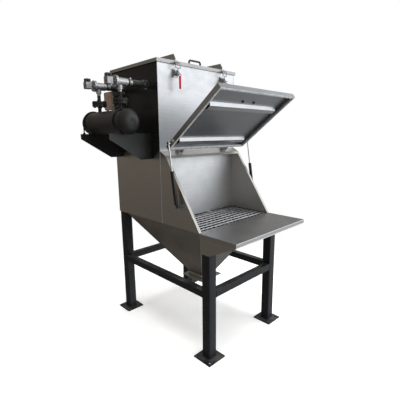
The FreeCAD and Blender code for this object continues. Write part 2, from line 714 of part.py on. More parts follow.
def clamp_lever():
    """Lever between the ears: two cheeks joined at the pins and down at the grip."""
    y, z = CLAMP_PIVOT
    hook_y, hook_z = HOOK_PIVOT
    outer = EAR_X - CLAMP_GAP
    pieces = []
    cheek = [(y + 7, z + 4), (y - 2, z + 9), (hook_y - 8, hook_z + 4), (GRIP_Y - 5, GRIP_TOP - 2),
             (GRIP_Y - 5, GRIP_TOP - 14), (GRIP_Y + 5, GRIP_TOP - 14), (hook_y + 7, hook_z - 7)]
    for x0 in (-outer, outer - LEVER_T):
        pieces.append(profile_x(cheek, x0, x0 + LEVER_T))
    pieces.append(rod((-outer, hook_y, hook_z), (1, 0, 0), PIN_R, 2 * outer))
    pieces.append(block(-outer, outer, GRIP_Y - 5, GRIP_Y + 5, GRIP_TOP - 14, GRIP_TOP - 4))
    pieces.append(block(-6, 6, GRIP_Y - 3, GRIP_Y + 3, GRIP_BOTTOM + 10, GRIP_TOP - 4))
    lever = fused(pieces)
    lever = lever.cut(rod((-outer, y, z), (1, 0, 0), PIN_R + PIN_GAP, 2 * outer))
    lever.translate(Vector(-CLAMP_X, 0, 0))
    return lever


def clamp_grip():
    """Dipped vinyl grip over the lever's tail."""
    tail = block(-6, 6, GRIP_Y - 3, GRIP_Y + 3, GRIP_BOTTOM + 10, GRIP_TOP - 4)
    body = rod((0, GRIP_Y, GRIP_BOTTOM + GRIP_R), (0, 0, 1), GRIP_R, GRIP_TOP - 14 - GRIP_BOTTOM - GRIP_R)
    tip = Part.makeSphere(GRIP_R, Vector(0, GRIP_Y, GRIP_BOTTOM + GRIP_R))
    grip = fused([body, tip]).cut(tail)
    grip.translate(Vector(-CLAMP_X, 0, 0))
    return grip


def clamp_hook():
    """U hook: a barrel on the lever's pin, a stem and yoke, two legs and the bar at the keeper."""
    hook_y, hook_z = HOOK_PIVOT
    inner = EAR_X - CLAMP_GAP - LEVER_T - CLAMP_GAP
    barrel = rod((-inner, hook_y, hook_z), (1, 0, 0), PIN_R + 4, 2 * inner)
    stem = rod((0, hook_y, hook_z + PIN_R), (0, 0, 1), HOOK_ROD_R, 44)
    yoke_z = hook_z + 46
    yoke = rod((-HOOK_HALF, hook_y, yoke_z), (1, 0, 0), HOOK_ROD_R, 2 * HOOK_HALF)
    pieces = [barrel, stem, yoke]
    for x in (-HOOK_HALF, HOOK_HALF):
        pieces.append(rod((x, hook_y, yoke_z), (0, 0, 1), HOOK_ROD_R, HOOK_Z - yoke_z))
        pieces.append(Part.makeSphere(HOOK_ROD_R, Vector(x, hook_y, yoke_z)))
        pieces.append(Part.makeSphere(HOOK_ROD_R, Vector(x, hook_y, HOOK_Z)))
    pieces.append(rod((-HOOK_HALF, hook_y, HOOK_Z), (1, 0, 0), HOOK_ROD_R, 2 * HOOK_HALF))
    hook = fused(pieces)
    hook = hook.cut(rod((-inner, hook_y, hook_z), (1, 0, 0), PIN_R + PIN_GAP, 2 * inner))
    hook.translate(Vector(-CLAMP_X, 0, 0))
    return hook


# ---------------------------------------------------------------- door
def door_frame():
    """Open door's own axes: origin at its outer hinge edge, y down its length, z inward."""
    lift = DOOR_DEPTH + DOOR_GAP
    start_y = LEDGE_FRONT + lift * SLOPE_Z - DOOR_LAP * SLOPE_Y - HINGE_Y
    start_z = LEDGE_Z - lift * SLOPE_Y - DOOR_LAP * SLOPE_Z - HINGE_Z
    turn = math.radians(-DOOR_OPEN)
    cos = math.cos(turn)
    sin = math.sin(turn)
    origin = Vector(0, HINGE_Y + start_y * cos - start_z * sin, HINGE_Z + start_y * sin + start_z * cos)
    along = Vector(0, SLOPE_Y * cos - SLOPE_Z * sin, SLOPE_Y * sin + SLOPE_Z * cos)
    inward = Vector(1, 0, 0).cross(along)
    return origin, along, inward


def on_door(shape):
    """Move a shape from the door's own axes to the open door."""
    origin, along, inward = door_frame()
    across = Vector(1, 0, 0)
    matrix = FreeCAD.Matrix(across.x, along.x, inward.x, origin.x,
                            across.y, along.y, inward.y, origin.y,
                            across.z, along.z, inward.z, origin.z,
                            0, 0, 0, 1)
    placed = shape.copy()
    placed.Placement = FreeCAD.Placement(matrix).multiply(placed.Placement)
    return placed


def door_point(along, inward):
    """World Y and Z of a point given in the door's own axes."""
    origin, run, depth = door_frame()
    place = origin + run * along + depth * inward
    return place.y, place.z


def hinge_in_door():
    """Hinge axis in the door's own length and depth."""
    origin, along, inward = door_frame()
    offset = Vector(0, HINGE_Y, HINGE_Z) - origin
    return offset.dot(along), offset.dot(inward)


def door_panel():
    """Folded door pan, drilled for the handle's two bolts."""
    pan = block(-DOOR_HALF, DOOR_HALF, 0, DOOR_LENGTH, 0, DOOR_DEPTH)
    core = block(-DOOR_HALF + DOOR_SHEET, DOOR_HALF - DOOR_SHEET, DOOR_SHEET,
                 DOOR_LENGTH - DOOR_SHEET, DOOR_SHEET, DOOR_DEPTH)
    pan = pan.cut(core)
    for x in (-DOOR_HANDLE_SPAN / 2, DOOR_HANDLE_SPAN / 2):
        pan = pan.cut(rod((x, DOOR_HANDLE_V, 0), (0, 0, 1), PIN_R + PIN_GAP, DOOR_SHEET))
    return on_door(pan)


def door_gasket():
    """Seal around the inside of the pan, meeting the frame flanges when closed."""
    edge = DOOR_HALF - DOOR_SHEET
    far = DOOR_LENGTH - DOOR_SHEET
    high = DOOR_DEPTH + DOOR_GAP - SEAL_GAP
    low = high - SEAL_DEPTH
    outer = block(-edge, edge, DOOR_SHEET, far, low, high)
    core = block(-edge + SEAL_WIDTH, edge - SEAL_WIDTH, DOOR_SHEET + SEAL_WIDTH,
                 far - SEAL_WIDTH, low, high)
    return on_door(outer.cut(core))


def door_stiffeners():
    """Two sloping-sided hat channels spot-welded across the inside of the pan."""
    channels = []
    run = STIFFENER_FOOT - STIFFENER_CROWN
    skin = DOOR_SHEET * math.hypot(run, STIFFENER_RISE) / STIFFENER_RISE
    low = DOOR_SHEET
    high = DOOR_SHEET + STIFFENER_RISE
    inner_foot = STIFFENER_FOOT - skin
    inner_crown = inner_foot - run * (STIFFENER_RISE - DOOR_SHEET) / STIFFENER_RISE
    for centre in STIFFENER_V:
        outer = profile_x([(centre - STIFFENER_FOOT, low), (centre - STIFFENER_CROWN, high),
                           (centre + STIFFENER_CROWN, high), (centre + STIFFENER_FOOT, low)],
                          -STIFFENER_HALF, STIFFENER_HALF)
        core = profile_x([(centre - inner_foot, low), (centre - inner_crown, high - DOOR_SHEET),
                          (centre + inner_crown, high - DOOR_SHEET), (centre + inner_foot, low)],
                         -STIFFENER_HALF, STIFFENER_HALF)
        hat = outer.cut(core)
        wide = STIFFENER_FOOT + STIFFENER_BRIM
        for v0, v1 in ((centre - wide, centre - inner_foot), (centre + inner_foot, centre + wide)):
            hat = hat.fuse(block(-STIFFENER_HALF, STIFFENER_HALF, v0, v1, low, low + DOOR_SHEET))
        channels.append(on_door(hat.removeSplitter()))
    return Part.makeCompound(channels)


def door_handle():
    """Bridge handle on the outside, held by two bolts whose nuts stand inside the pan."""
    handle = bridge_handle(0, DOOR_HANDLE_SPAN / 2, DOOR_HANDLE_RISE, HANDLE_R)
    handle = handle.mirror(Vector(0, 0, 0), Vector(0, 0, 1))
    pieces = [handle]
    for x in (-DOOR_HANDLE_SPAN / 2, DOOR_HANDLE_SPAN / 2):
        pieces.append(rod((x, 0, DOOR_SHEET), (0, 0, 1), HANDLE_R + 2, 6))
        pieces.append(rod((x, 0, 0), (0, 0, 1), PIN_R, DOOR_SHEET + 10))
    solid = fused(pieces)
    solid.translate(Vector(0, DOOR_HANDLE_V, 0))
    return on_door(solid)


def door_hinge_brackets():
    """Fixed half of the door hinges: raised arms on the ledge and the pin between them."""
    back = HOUSING_FRONT - 6
    front = HINGE_Y + 26
    slope = LEDGE_DROP / (HOUSING_FRONT - LEDGE_FRONT)
    back_z = SEAM_Z - (HOUSING_FRONT - back) * slope
    front_z = SEAM_Z - (HOUSING_FRONT - front) * slope
    inner = KNUCKLE_HALF + CLAMP_GAP
    outline = [(HINGE_Y - 8, HINGE_Z - 2), (HINGE_Y - 3, HINGE_Z + 8), (HINGE_Y + 6, HINGE_Z + 8),
               (back, back_z + 14), (back, back_z), (front, front_z), (HINGE_Y + 3, HINGE_Z - 9)]
    pieces = []
    for x0 in (-inner - HINGE_ARM, inner):
        pieces.append(profile_x(outline, x0, x0 + HINGE_ARM))
    foot = [(back, back_z), (front, front_z), (front, front_z + SHEET), (back, back_z + SHEET)]
    reach = inner + HINGE_ARM
    pieces.append(profile_x(foot, -reach, reach))
    pieces.append(rod((-reach, HINGE_Y, HINGE_Z), (1, 0, 0), PIN_R, 2 * reach))
    bracket = fused(pieces)
    bracket.translate(Vector(-HINGE_X, 0, 0))
    return both_sides(bracket)


def door_hinge_leaves():
    """Moving half of the door hinges, bolted to the pan's upper flange."""
    axis_v, axis_w = hinge_in_door()
    half = KNUCKLE_HALF
    plate = block(-HINGE_LEAF_HALF, HINGE_LEAF_HALF, -SHEET, 0, 4, DOOR_DEPTH - 4)
    web = block(-half, half, axis_v, 0, axis_w - 4, axis_w + 4)
    barrel = rod((-half, axis_v, axis_w), (1, 0, 0), KNUCKLE_R, 2 * half)
    leaf = fused([plate, web, barrel])
    leaf = leaf.cut(rod((-half, axis_v, axis_w), (1, 0, 0), PIN_R + PIN_GAP, 2 * half))
    leaf.translate(Vector(-HINGE_X, 0, 0))
    return both_sides(on_door(leaf))


# ---------------------------------------------------------------- gas struts
def strut_head():
    """World Y and Z of the struts' upper anchor on the open door."""
    return door_point(STRUT_V, STRUT_W)


def strut_axis():
    """Unit vector up the open strut, and its length."""
    y, z = strut_head()
    run = Vector(0, y - STRUT_FOOT[0], z - STRUT_FOOT[1])
    return run / run.Length, run.Length


def strut_cylinder():
    """Left gas spring body, with its foot eye."""
    way, _ = strut_axis()
    foot = Vector(-STRUT_X, STRUT_FOOT[0], STRUT_FOOT[1])
    start = EYE_R + NECK_SHOW
    body = Part.makeCylinder(STRUT_R, STRUT_BODY - start, foot + way * start, way)
    eye = rod((-STRUT_X - EYE_HALF, foot.y, foot.z), (1, 0, 0), EYE_R, 2 * EYE_HALF)
    neck = Part.makeCylinder(NECK_R, start + NECK_SHOW, foot, way)
    solid = fused([body, eye, neck])
    low = start + STRUT_CAP
    depth = STRUT_BODY - STRUT_CAP - low
    solid = solid.cut(Part.makeCylinder(STRUT_BORE_R, depth, foot + way * low, way))
    guide = Part.makeCylinder(ROD_R + ROD_SLIDE_GAP, STRUT_CAP, foot + way * (STRUT_BODY - STRUT_CAP), way)
    solid = solid.cut(guide)
    return solid.cut(rod((-STRUT_X - EYE_HALF, foot.y, foot.z), (1, 0, 0), STUD_R + PIN_GAP, 2 * EYE_HALF))


def strut_rod():
    """Left piston rod, its piston and its head eye."""
    way, length = strut_axis()
    foot = Vector(-STRUT_X, STRUT_FOOT[0], STRUT_FOOT[1])
    head = foot + way * length
    piston_z = STRUT_BODY - STRUT_CAP - PISTON_H - 4
    shank = Part.makeCylinder(ROD_R, length - EYE_R - piston_z, foot + way * piston_z, way)
    piston = Part.makeCylinder(STRUT_BORE_R - PISTON_GAP, PISTON_H, foot + way * piston_z, way)
    eye = rod((-STRUT_X - EYE_HALF, head.y, head.z), (1, 0, 0), EYE_R, 2 * EYE_HALF)
    neck = Part.makeCylinder(NECK_R, 2 * EYE_R, head - way * (2 * EYE_R), way)
    return fused([shank, piston, eye, neck])


def strut_anchors():
    """Foot plate and stud for each strut, on the hood's cheeks."""
    y, z = STRUT_FOOT
    plate = block(-SIDE - CLAMP_PLATE, -SIDE, y - ANCHOR_REACH, y + 18, z - 24, z + 24)
    stud = rod((-STRUT_X - EYE_HALF - 3, y, z), (1, 0, 0), STUD_R, STRUT_X + EYE_HALF + 3 - SIDE)
    collar = rod((-STRUT_X + EYE_HALF + CLAMP_GAP, y, z), (1, 0, 0), EYE_R, STRUT_X - EYE_HALF - CLAMP_GAP - SIDE)
    return both_sides(fused([plate, stud, collar]))


def door_studs():
    """Short stud for each strut head, on the door's end flanges; the strut's eye stops beside it."""
    reach = STRUT_X - EYE_HALF - STUD_GAP
    plate = block(-DOOR_HALF - CLAMP_PLATE, -DOOR_HALF, STRUT_V - 24, STRUT_V + 24, STRUT_W - 12, STRUT_W + 12)
    stud = rod((-reach, STRUT_V, STRUT_W), (1, 0, 0), STUD_R + 2, reach - DOOR_HALF)
    return both_sides(on_door(fused([plate, stud])))


# ---------------------------------------------------------------- air tank
def tank_shell(radius, front, back, dish):
    """Closed tank along Y, with dished ends."""
    y_dome = front - dish
    half = [Vector(0, y_dome, 0)]
    arc_front = Part.Arc(Vector(0, y_dome, 0), Vector(radius * 0.78, front - dish * 0.55, 0),
                         Vector(radius, front, 0))
    side = Part.LineSegment(Vector(radius, front, 0), Vector(radius, back, 0))
    arc_back = Part.Arc(Vector(radius, back, 0), Vector(radius * 0.78, back + dish * 0.55, 0),
                        Vector(0, back + dish, 0))
    spine = Part.LineSegment(Vector(0, back + dish, 0), half[0])
    wire = Part.Wire([c.toShape() for c in (arc_front, side, arc_back, spine)])
    return Part.Face(wire).revolve(Vector(0, 0, 0), Vector(0, 1, 0), 360)


def air_tank():
    """Compressed air tank with riser holes and a threaded inlet boss on its rear end."""
    outer = tank_shell(TANK_R, TANK_FRONT, TANK_BACK, TANK_DISH)
    inner = tank_shell(TANK_R - TANK_WALL, TANK_FRONT, TANK_BACK, TANK_DISH - TANK_WALL)
    end = TANK_BACK + TANK_DISH
    boss = rod((0, end - INLET_LENGTH + 10, 0), (0, 1, 0), INLET_BOSS_R, INLET_LENGTH)
    tank = fused([outer.cut(inner), boss])
    tank = tank.cut(rod((0, end - INLET_LENGTH, 0), (0, 1, 0), INLET_R, 2 * INLET_LENGTH))
    for y in PULSE_ROWS:
        tank = tank.cut(rod((0, y, 0), (0, 0, 1), RISER_R - RISER_WALL, 2 * TANK_R))
    tank.translate(Vector(TANK_X, 0, TANK_Z))
    return tank


def tank_gusset(y):
    """Bracket plate with a saddle for the tank, a folded wall flange and two bolting tabs."""
    outline = [(-SIDE, GUSSET_TOP), (GUSSET_OUTER, GUSSET_TOP), (GUSSET_OUTER, GUSSET_NOSE_Z),
               (GUSSET_KNEE_X, GUSSET_BOTTOM), (-SIDE, GUSSET_BOTTOM)]
    plate = profile_y(outline, y, y + GUSSET_T)
    flange = profile_x([(y, GUSSET_BOTTOM), (y - GUSSET_FLANGE, GUSSET_BOTTOM + GUSSET_CHAMFER),
                        (y - GUSSET_FLANGE, GUSSET_TOP), (y, GUSSET_TOP)], -SIDE - GUSSET_T, -SIDE)
    pieces = [plate, flange]
    for side in (-1, 1):
        x = TANK_X + side * U_BOLT_HALF
        tab = block(x - TAB_SIZE / 2, x + TAB_SIZE / 2, y, y + TAB_SIZE, GUSSET_TOP - TAB_T, GUSSET_TOP)
        pieces.append(tab.cut(rod((x, y + TAB_SIZE / 2, GUSSET_TOP - TAB_T), (0, 0, 1),
                                  U_BOLT_R + CLAMP_GAP, TAB_T)))
    saddle = rod((TANK_X, y - GUSSET_T, TANK_Z), (0, 1, 0), TANK_R + SADDLE_GAP, TAB_SIZE * 2)
    return fused(pieces).cut(saddle)


def tank_u_bolts():
    """U bolts over the tank, with a nut above and below each tab."""
    bolts = []
    ring_r = U_BOLT_HALF
    for row in GUSSET_ROWS:
        y = row + TAB_SIZE / 2
        torus = Part.makeTorus(ring_r, U_BOLT_R, Vector(TANK_X, y, TANK_Z), Vector(0, 1, 0))
        upper = block(TANK_X - 2 * ring_r, TANK_X + 2 * ring_r, y - 20, y + 20, TANK_Z, TANK_Z + 2 * ring_r)
        pieces = [torus.common(upper)]
        low = GUSSET_TOP - TAB_T - 20
        for side in (-1, 1):
            x = TANK_X + side * ring_r
            pieces.append(rod((x, y, low), (0, 0, 1), U_BOLT_R, TANK_Z - low))
            for z0 in (GUSSET_TOP, GUSSET_TOP - TAB_T - 8):
                pieces.append(rod((x, y, z0), (0, 0, 1), U_BOLT_R + 4, 8))
        bolts.append(fused(pieces))
    return Part.makeCompound(bolts)


def drain_cock():
    """Small condensate cock under the tank."""
    z = TANK_Z - TANK_R
    stem = rod((TANK_X, COCK_Y, z - 22), (0, 0, 1), 6, 22)
    nut = rod((TANK_X, COCK_Y, z - 32), (0, 0, 1), 12, 12)
    spout = rod((TANK_X, COCK_Y, z - 48), (0, 0, 1), 5, 18)
    lever = block(TANK_X - 5, TANK_X + 5, COCK_Y - 44, COCK_Y - 8, z - 29, z - 25)
    cock = fused([stem, nut, spout, lever])
    clear = rod((TANK_X, TANK_FRONT, TANK_Z), (0, 1, 0), TANK_R, TANK_BACK - TANK_FRONT)
    return cock.cut(clear)


# ---------------------------------------------------------------- pulse valves
UNION_TOP = UNION_BOTTOM + 2 * UNION_HALF_T + UNION_SEAL


def union_flange(y, z0):
    """One round flange of a riser union, drilled for its four bolts."""
    disc = rod((TANK_X, y, z0), (0, 0, 1), UNION_R, UNION_HALF_T)
    for k in range(4):
        angle = math.radians(45 + 90 * k)
        x = TANK_X + UNION_BOLT_PCD / 2 * math.cos(angle)
        hole_y = y + UNION_BOLT_PCD / 2 * math.sin(angle)
        disc = disc.cut(rod((x, hole_y, z0), (0, 0, 1), UNION_BOLT_R, UNION_HALF_T))
    return disc


def pulse_risers():
    """Pipe from the tank up to the lower flange of each union."""
    risers = []
    tank = rod((TANK_X, TANK_FRONT, TANK_Z), (0, 1, 0), TANK_R, TANK_BACK - TANK_FRONT)
    for y in PULSE_ROWS:
        low = TANK_Z + TANK_R - 15
        height = UNION_BOTTOM + UNION_HALF_T - low
        pipe = rod((TANK_X, y, low), (0, 0, 1), RISER_R, height)
        riser = fused([pipe, union_flange(y, UNION_BOTTOM)]).cut(tank)
        risers.append(riser.cut(rod((TANK_X, y, low), (0, 0, 1), RISER_R - RISER_WALL, height)))
    return Part.makeCompound(risers)


def union_bolts():
    """Gasket ring and four bolts of each union."""
    pieces = []
    for y in PULSE_ROWS:
        z = UNION_BOTTOM + UNION_HALF_T
        ring = rod((TANK_X, y, z), (0, 0, 1), UNION_BOLT_PCD / 2 - UNION_BOLT_R - 2, UNION_SEAL)
        pieces.append(ring.cut(rod((TANK_X, y, z), (0, 0, 1), RISER_R, UNION_SEAL)))
        for k in range(4):
            angle = math.radians(45 + 90 * k)
            x = TANK_X + UNION_BOLT_PCD / 2 * math.cos(angle)
            bolt_y = y + UNION_BOLT_PCD / 2 * math.sin(angle)
            length = UNION_TOP - UNION_BOTTOM
            shank = rod((x, bolt_y, UNION_BOTTOM), (0, 0, 1), UNION_BOLT_R - CLAMP_GAP, length)
            head = rod((x, bolt_y, UNION_TOP), (0, 0, 1), UNION_BOLT_R + 4, 7)
            nut = rod((x, bolt_y, UNION_BOTTOM - 9), (0, 0, 1), UNION_BOLT_R + 4, 9)
            pieces.append(fused([shank, head, nut]))
    return Part.makeCompound(pieces)


def pulse_valves():
    """Right-angle diaphragm valve: upper union flange, inlet neck, body and outlet spigot."""
    valves = []
    for y in PULSE_ROWS:
        z0 = UNION_TOP - UNION_HALF_T
        neck = rod((TANK_X, y, z0), (0, 0, 1), RISER_R, PULSE_Z - z0)
        hub = rod((TANK_X, y, VALVE_BOTTOM - 22), (0, 0, 1), VALVE_HUB_R, 30)
        body = rod((VALVE_LEFT, y, PULSE_Z), (1, 0, 0), VALVE_R, VALVE_RIGHT - VALVE_LEFT - 10)
        shoulder = rod((VALVE_RIGHT - 10, y, PULSE_Z), (1, 0, 0), VALVE_HUB_R + 2, 10)
        spigot = rod((VALVE_RIGHT, y, PULSE_Z), (1, 0, 0), PIPE_R, SPIGOT_LENGTH)
        valve = fused([union_flange(y, z0), neck, hub, body, shoulder, spigot])
        bore = RISER_R - RISER_WALL
        valve = valve.cut(rod((TANK_X, y, z0), (0, 0, 1), bore, PULSE_Z - z0))
        reach = VALVE_RIGHT + SPIGOT_LENGTH - TANK_X
        valves.append(valve.cut(rod((TANK_X, y, PULSE_Z), (1, 0, 0), bore, reach)))
    return Part.makeCompound(valves)


def valve_covers():
    """Bolted cover over each diaphragm, with its eight screw heads."""
    covers = []
    for y in PULSE_ROWS:
        plate = rod((VALVE_LEFT - COVER_T, y, PULSE_Z), (1, 0, 0), COVER_R, COVER_T)
        dome = rod((VALVE_LEFT - COVER_T - 6, y, PULSE_Z), (1, 0, 0), COVER_R - 18, 6)
        pieces = [plate, dome]
        for k in range(8):
            angle = math.radians(22.5 + 45 * k)
            screw_y = y + (COVER_R - 8) * math.cos(angle)
            screw_z = PULSE_Z + (COVER_R - 8) * math.sin(angle)
            pieces.append(rod((VALVE_LEFT - COVER_T - 4, screw_y, screw_z), (1, 0, 0), 4.5, 4))
        covers.append(fused(pieces))
    return Part.makeCompound(covers)


def valve_solenoids():
    """Pilot stem and square coil on each cover."""
    coils = []
    for y in PULSE_ROWS:
        right = VALVE_LEFT - COVER_T - 6
        stem = rod((right - SOLENOID_STEM, y, PULSE_Z), (1, 0, 0), 11, SOLENOID_STEM)
        left = right - SOLENOID_STEM - SOLENOID_LENGTH
        half = SOLENOID_HALF
        coil = block(left, right - SOLENOID_STEM, y - half, y + half, PULSE_Z - half, PULSE_Z + half)
        coil = coil.makeFillet(4, coil.Edges)
        nut = rod((left - 5, y, PULSE_Z), (1, 0, 0), 9, 5)
        coils.append(fused([stem, coil, nut]))
    return Part.makeCompound(coils)


def hose_span():
    """X of the hose's two ends."""
    return VALVE_RIGHT + 4, -SIDE - BULKHEAD_T - 4


def pulse_hoses():
    """Short rubber hose from each valve to its wall stub."""
    hoses = []
    x0, x1 = hose_span()
    for y in PULSE_ROWS:
        hose = rod((x0, y, PULSE_Z), (1, 0, 0), HOSE_R, x1 - x0)
        hoses.append(hose.cut(rod((x0, y, PULSE_Z), (1, 0, 0), PIPE_R + HOSE_GAP, x1 - x0)))
    return Part.makeCompound(hoses)


def hose_clamps():
    """Band clamp with a screw housing at each hose end."""
    bands = []
    x0, x1 = hose_span()
    for y in PULSE_ROWS:
        for x in (x0 + 6, x1 - 6 - CLAMP_BAND):
            ring = rod((x, y, PULSE_Z), (1, 0, 0), HOSE_R + BAND_T, CLAMP_BAND)
            screw = rod((x + CLAMP_BAND / 2, y - 14, PULSE_Z + HOSE_R + 5), (0, 1, 0), 5, 28)
            lug = block(x + 4, x + CLAMP_BAND - 4, y - 8, y + 8, PULSE_Z + HOSE_R - 2, PULSE_Z + HOSE_R + 6)
            band = fused([ring, screw, lug])
            bands.append(band.cut(rod((x, y, PULSE_Z), (1, 0, 0), HOSE_R, CLAMP_BAND)))
    return Part.makeCompound(bands)


def pulse_controller():
    """Flat pulse timer box on the valve side, on four spacers, with cable glands below."""
    x0, x1 = CONTROLLER_X
    y0, y1 = CONTROLLER_Y
    z0, z1 = CONTROLLER_Z
    shell = block(x0, x1, y0, y1, z0, z1)
    shell = shell.makeFillet(CONTROLLER_EDGE, shell.Edges)
    cover = block(x0 - CONTROLLER_LID, x0 + 6, y0 + CONTROLLER_EDGE, y1 - CONTROLLER_EDGE,
                  z0 + CONTROLLER_EDGE, z1 - CONTROLLER_EDGE)
    pieces = [shell, cover]
    for y in (y0 + CONTROLLER_INSET, y1 - CONTROLLER_INSET):
        for z in (z0 + CONTROLLER_INSET, z1 - CONTROLLER_INSET):
            pieces.append(rod((x1 - 6, y, z), (1, 0, 0), 7, -SIDE - x1 + 6))
        pieces.append(rod(((x0 + x1) / 2, y, z0 - 14), (0, 0, 1), GLAND_R, 20))
    return fused(pieces)


# ---------------------------------------------------------------- build
def clamp_pieces():
    """The parts of the left and right clamps, each in its own piece."""
    for name, maker in (("lever", clamp_lever), ("grip", clamp_grip), ("hook", clamp_hook)):
        piece = maker()
        save("clamp_%s_left" % name, piece)
        save("clamp_%s_right" % name, mirrored(piece))


def strut_pieces():
    """Left and right gas struts."""
    for name, maker in (("cylinder", strut_cylinder), ("rod", strut_rod)):
        piece = maker()
        save("strut_%s_left" % name, piece)
        save("strut_%s_right" % name, mirrored(piece))


SINGLES = (legs, foot_plates, stand_braces, hopper, hopper_outlet, header_ledge, shelf, shelf_brackets,
           baffle, grate, grate_rails, lower_rear, upper_left_panel, upper_front_panel,
           upper_rear_panel, clean_air_outlet, tube_sheet, filter_cartridges, blow_pipes, lid,
           lid_gasket, lid_handle, lid_hinge_frames, lid_hinge_leaves, keeper_brackets, clamp_bases,
           door_panel, door_gasket, door_stiffeners, door_handle, door_hinge_brackets,
           door_hinge_leaves, strut_anchors, door_studs, air_tank, tank_u_bolts, drain_cock,
           pulse_risers, union_bolts, pulse_valves, valve_covers, valve_solenoids, pulse_hoses,
           hose_clamps, pulse_controller)

os.makedirs("parts", exist_ok=True)
for make in SINGLES:
    save(make.__name__, make())
wing = hood_wing()
save("hood_wing_left", wing)
save("hood_wing_right", mirrored(wing))
save("lower_side_panels", both_sides(lower_side()))
save("upper_right_panel", mirrored(upper_side()))
save("tank_gussets", Part.makeCompound([tank_gusset(row) for row in GUSSET_ROWS]))
clamp_pieces()
strut_pieces()
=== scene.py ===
import json
import math
import random

import bmesh
import bpy
from mathutils import Matrix, Vector


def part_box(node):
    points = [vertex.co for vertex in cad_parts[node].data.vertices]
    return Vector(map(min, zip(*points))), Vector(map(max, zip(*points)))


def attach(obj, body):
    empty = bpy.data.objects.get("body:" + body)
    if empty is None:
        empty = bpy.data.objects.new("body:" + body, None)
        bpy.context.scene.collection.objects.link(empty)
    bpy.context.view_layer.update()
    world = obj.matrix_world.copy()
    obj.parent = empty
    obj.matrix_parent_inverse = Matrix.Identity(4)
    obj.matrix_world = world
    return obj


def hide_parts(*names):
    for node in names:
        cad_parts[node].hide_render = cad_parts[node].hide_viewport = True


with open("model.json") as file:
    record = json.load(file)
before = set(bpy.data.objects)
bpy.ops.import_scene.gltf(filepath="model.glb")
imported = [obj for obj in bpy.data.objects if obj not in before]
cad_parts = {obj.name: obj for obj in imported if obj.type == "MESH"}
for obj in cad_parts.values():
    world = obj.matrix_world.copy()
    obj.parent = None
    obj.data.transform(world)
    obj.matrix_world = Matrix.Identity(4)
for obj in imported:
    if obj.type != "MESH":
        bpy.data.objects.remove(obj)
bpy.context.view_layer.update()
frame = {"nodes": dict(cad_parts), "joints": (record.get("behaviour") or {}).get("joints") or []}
nodes = frame["nodes"]
joints = {joint["name"]: joint for joint in frame["joints"]}
random.seed(7)

# ------------------------------------------------------------------ camera
# Standing a little to the operator's left, at shoulder height above the shelf,
# looking down across the open door.
camera = bpy.data.objects.new("camera", bpy.data.cameras.new("camera"))
bpy.context.scene.collection.objects.link(camera)
camera.data.lens = 29.0
camera.data.sensor_width = 36.0
camera.data.clip_end = 60.0
camera.location = (-2.027, -2.146, 1.733)
yaw, pitch, roll = math.radians(44.29), math.radians(-11.41), math.radians(-0.58)
ahead = Vector((math.sin(yaw) * math.cos(pitch), math.cos(yaw) * math.cos(pitch), math.sin(pitch)))
level = Vector((math.cos(yaw), -math.sin(yaw), 0))
upright = level.cross(ahead)
across = level * math.cos(roll) + upright * math.sin(roll)
camera.rotation_euler = Matrix((across, across.cross(ahead), -ahead)).transposed().to_euler()
bpy.context.scene.camera = camera

# ------------------------------------------------------------------ studio
# A pale seamless floor under broad soft lights: a large one over the operator's
# right shoulder, a strip overhead, and a weak one behind the valve side.
bpy.context.scene.view_settings.view_transform = "Standard"


def soft_light(name, place, target, width, height, watts):
    """Rectangular area light aimed at a point, hidden from reflections."""
    lamp = bpy.data.lights.new(name, "AREA")
    lamp.shape = "RECTANGLE"
    lamp.size = width
    lamp.size_y = height
    lamp.energy = watts
    light = bpy.data.objects.new(name, lamp)
    bpy.context.scene.collection.objects.link(light)
    light.location = place
    light.visible_glossy = False
    light.rotation_euler = (Vector(place) - Vector(target)).to_track_quat("Z", "Y").to_euler()


def feed(tree, node, **inputs):
    """Fill a node's inputs: a value is set and a socket is linked; i0 is the first input."""
    for key, value in inputs.items():
        socket = node.inputs[int(key[1:])] if key[1:].isdigit() else node.inputs[key.replace("_", " ")]
        if isinstance(value, bpy.types.NodeSocket):
            tree.links.new(value, socket)
        else:
            socket.default_value = value


def add(tree, kind, settings=None, **inputs):
    """New node with its settings and its inputs."""
    node = tree.nodes.new("ShaderNode" + kind)
    for key, value in (settings or {}).items():
        setattr(node, key, value)
    feed(tree, node, **inputs)
    return node


def calc(tree, operation, first, second=0.0, third=0.0, clamp=False):
    settings = {"operation": operation, "use_clamp": clamp}
    return add(tree, "Math", settings, i0=first, i1=second, i2=third).outputs[0]


def remap(tree, value, low, high, to_low=0.0, to_high=1.0):
    """Smooth step from one range of a value to another."""
    return add(tree, "MapRange", {"interpolation_type": "SMOOTHSTEP"}, Value=value, From_Min=low,
               From_Max=high, To_Min=to_low, To_Max=to_high).outputs[0]


def blend_colour(tree, factor, first, second):
    """Mix two colours, each a socket or red, green and blue."""
    first, second = (value + (1,) if isinstance(value, tuple) else value for value in (first, second))
    return add(tree, "Mix", {"data_type": "RGBA"}, i0=factor, i6=first, i7=second).outputs[2]


def new_finish(name):
    """Material with its node tree and its Principled shader."""
    material = bpy.data.materials.new(name)
    material.use_nodes = True
    return material, material.node_tree, material.node_tree.nodes["Principled BSDF"]


soft_light("front_softbox", (2.6, -5.0, 3.4), (0, 0, 1.4), 3.0, 2.4, 95)
soft_light("overhead_softbox", (0.2, -0.6, 5.2), (0, 0, 1.0), 5.0, 5.0, 420)
soft_light("side_softbox", (-4.6, -1.2, 3.2), (0, 0, 1.5), 1.2, 2.4, 14)

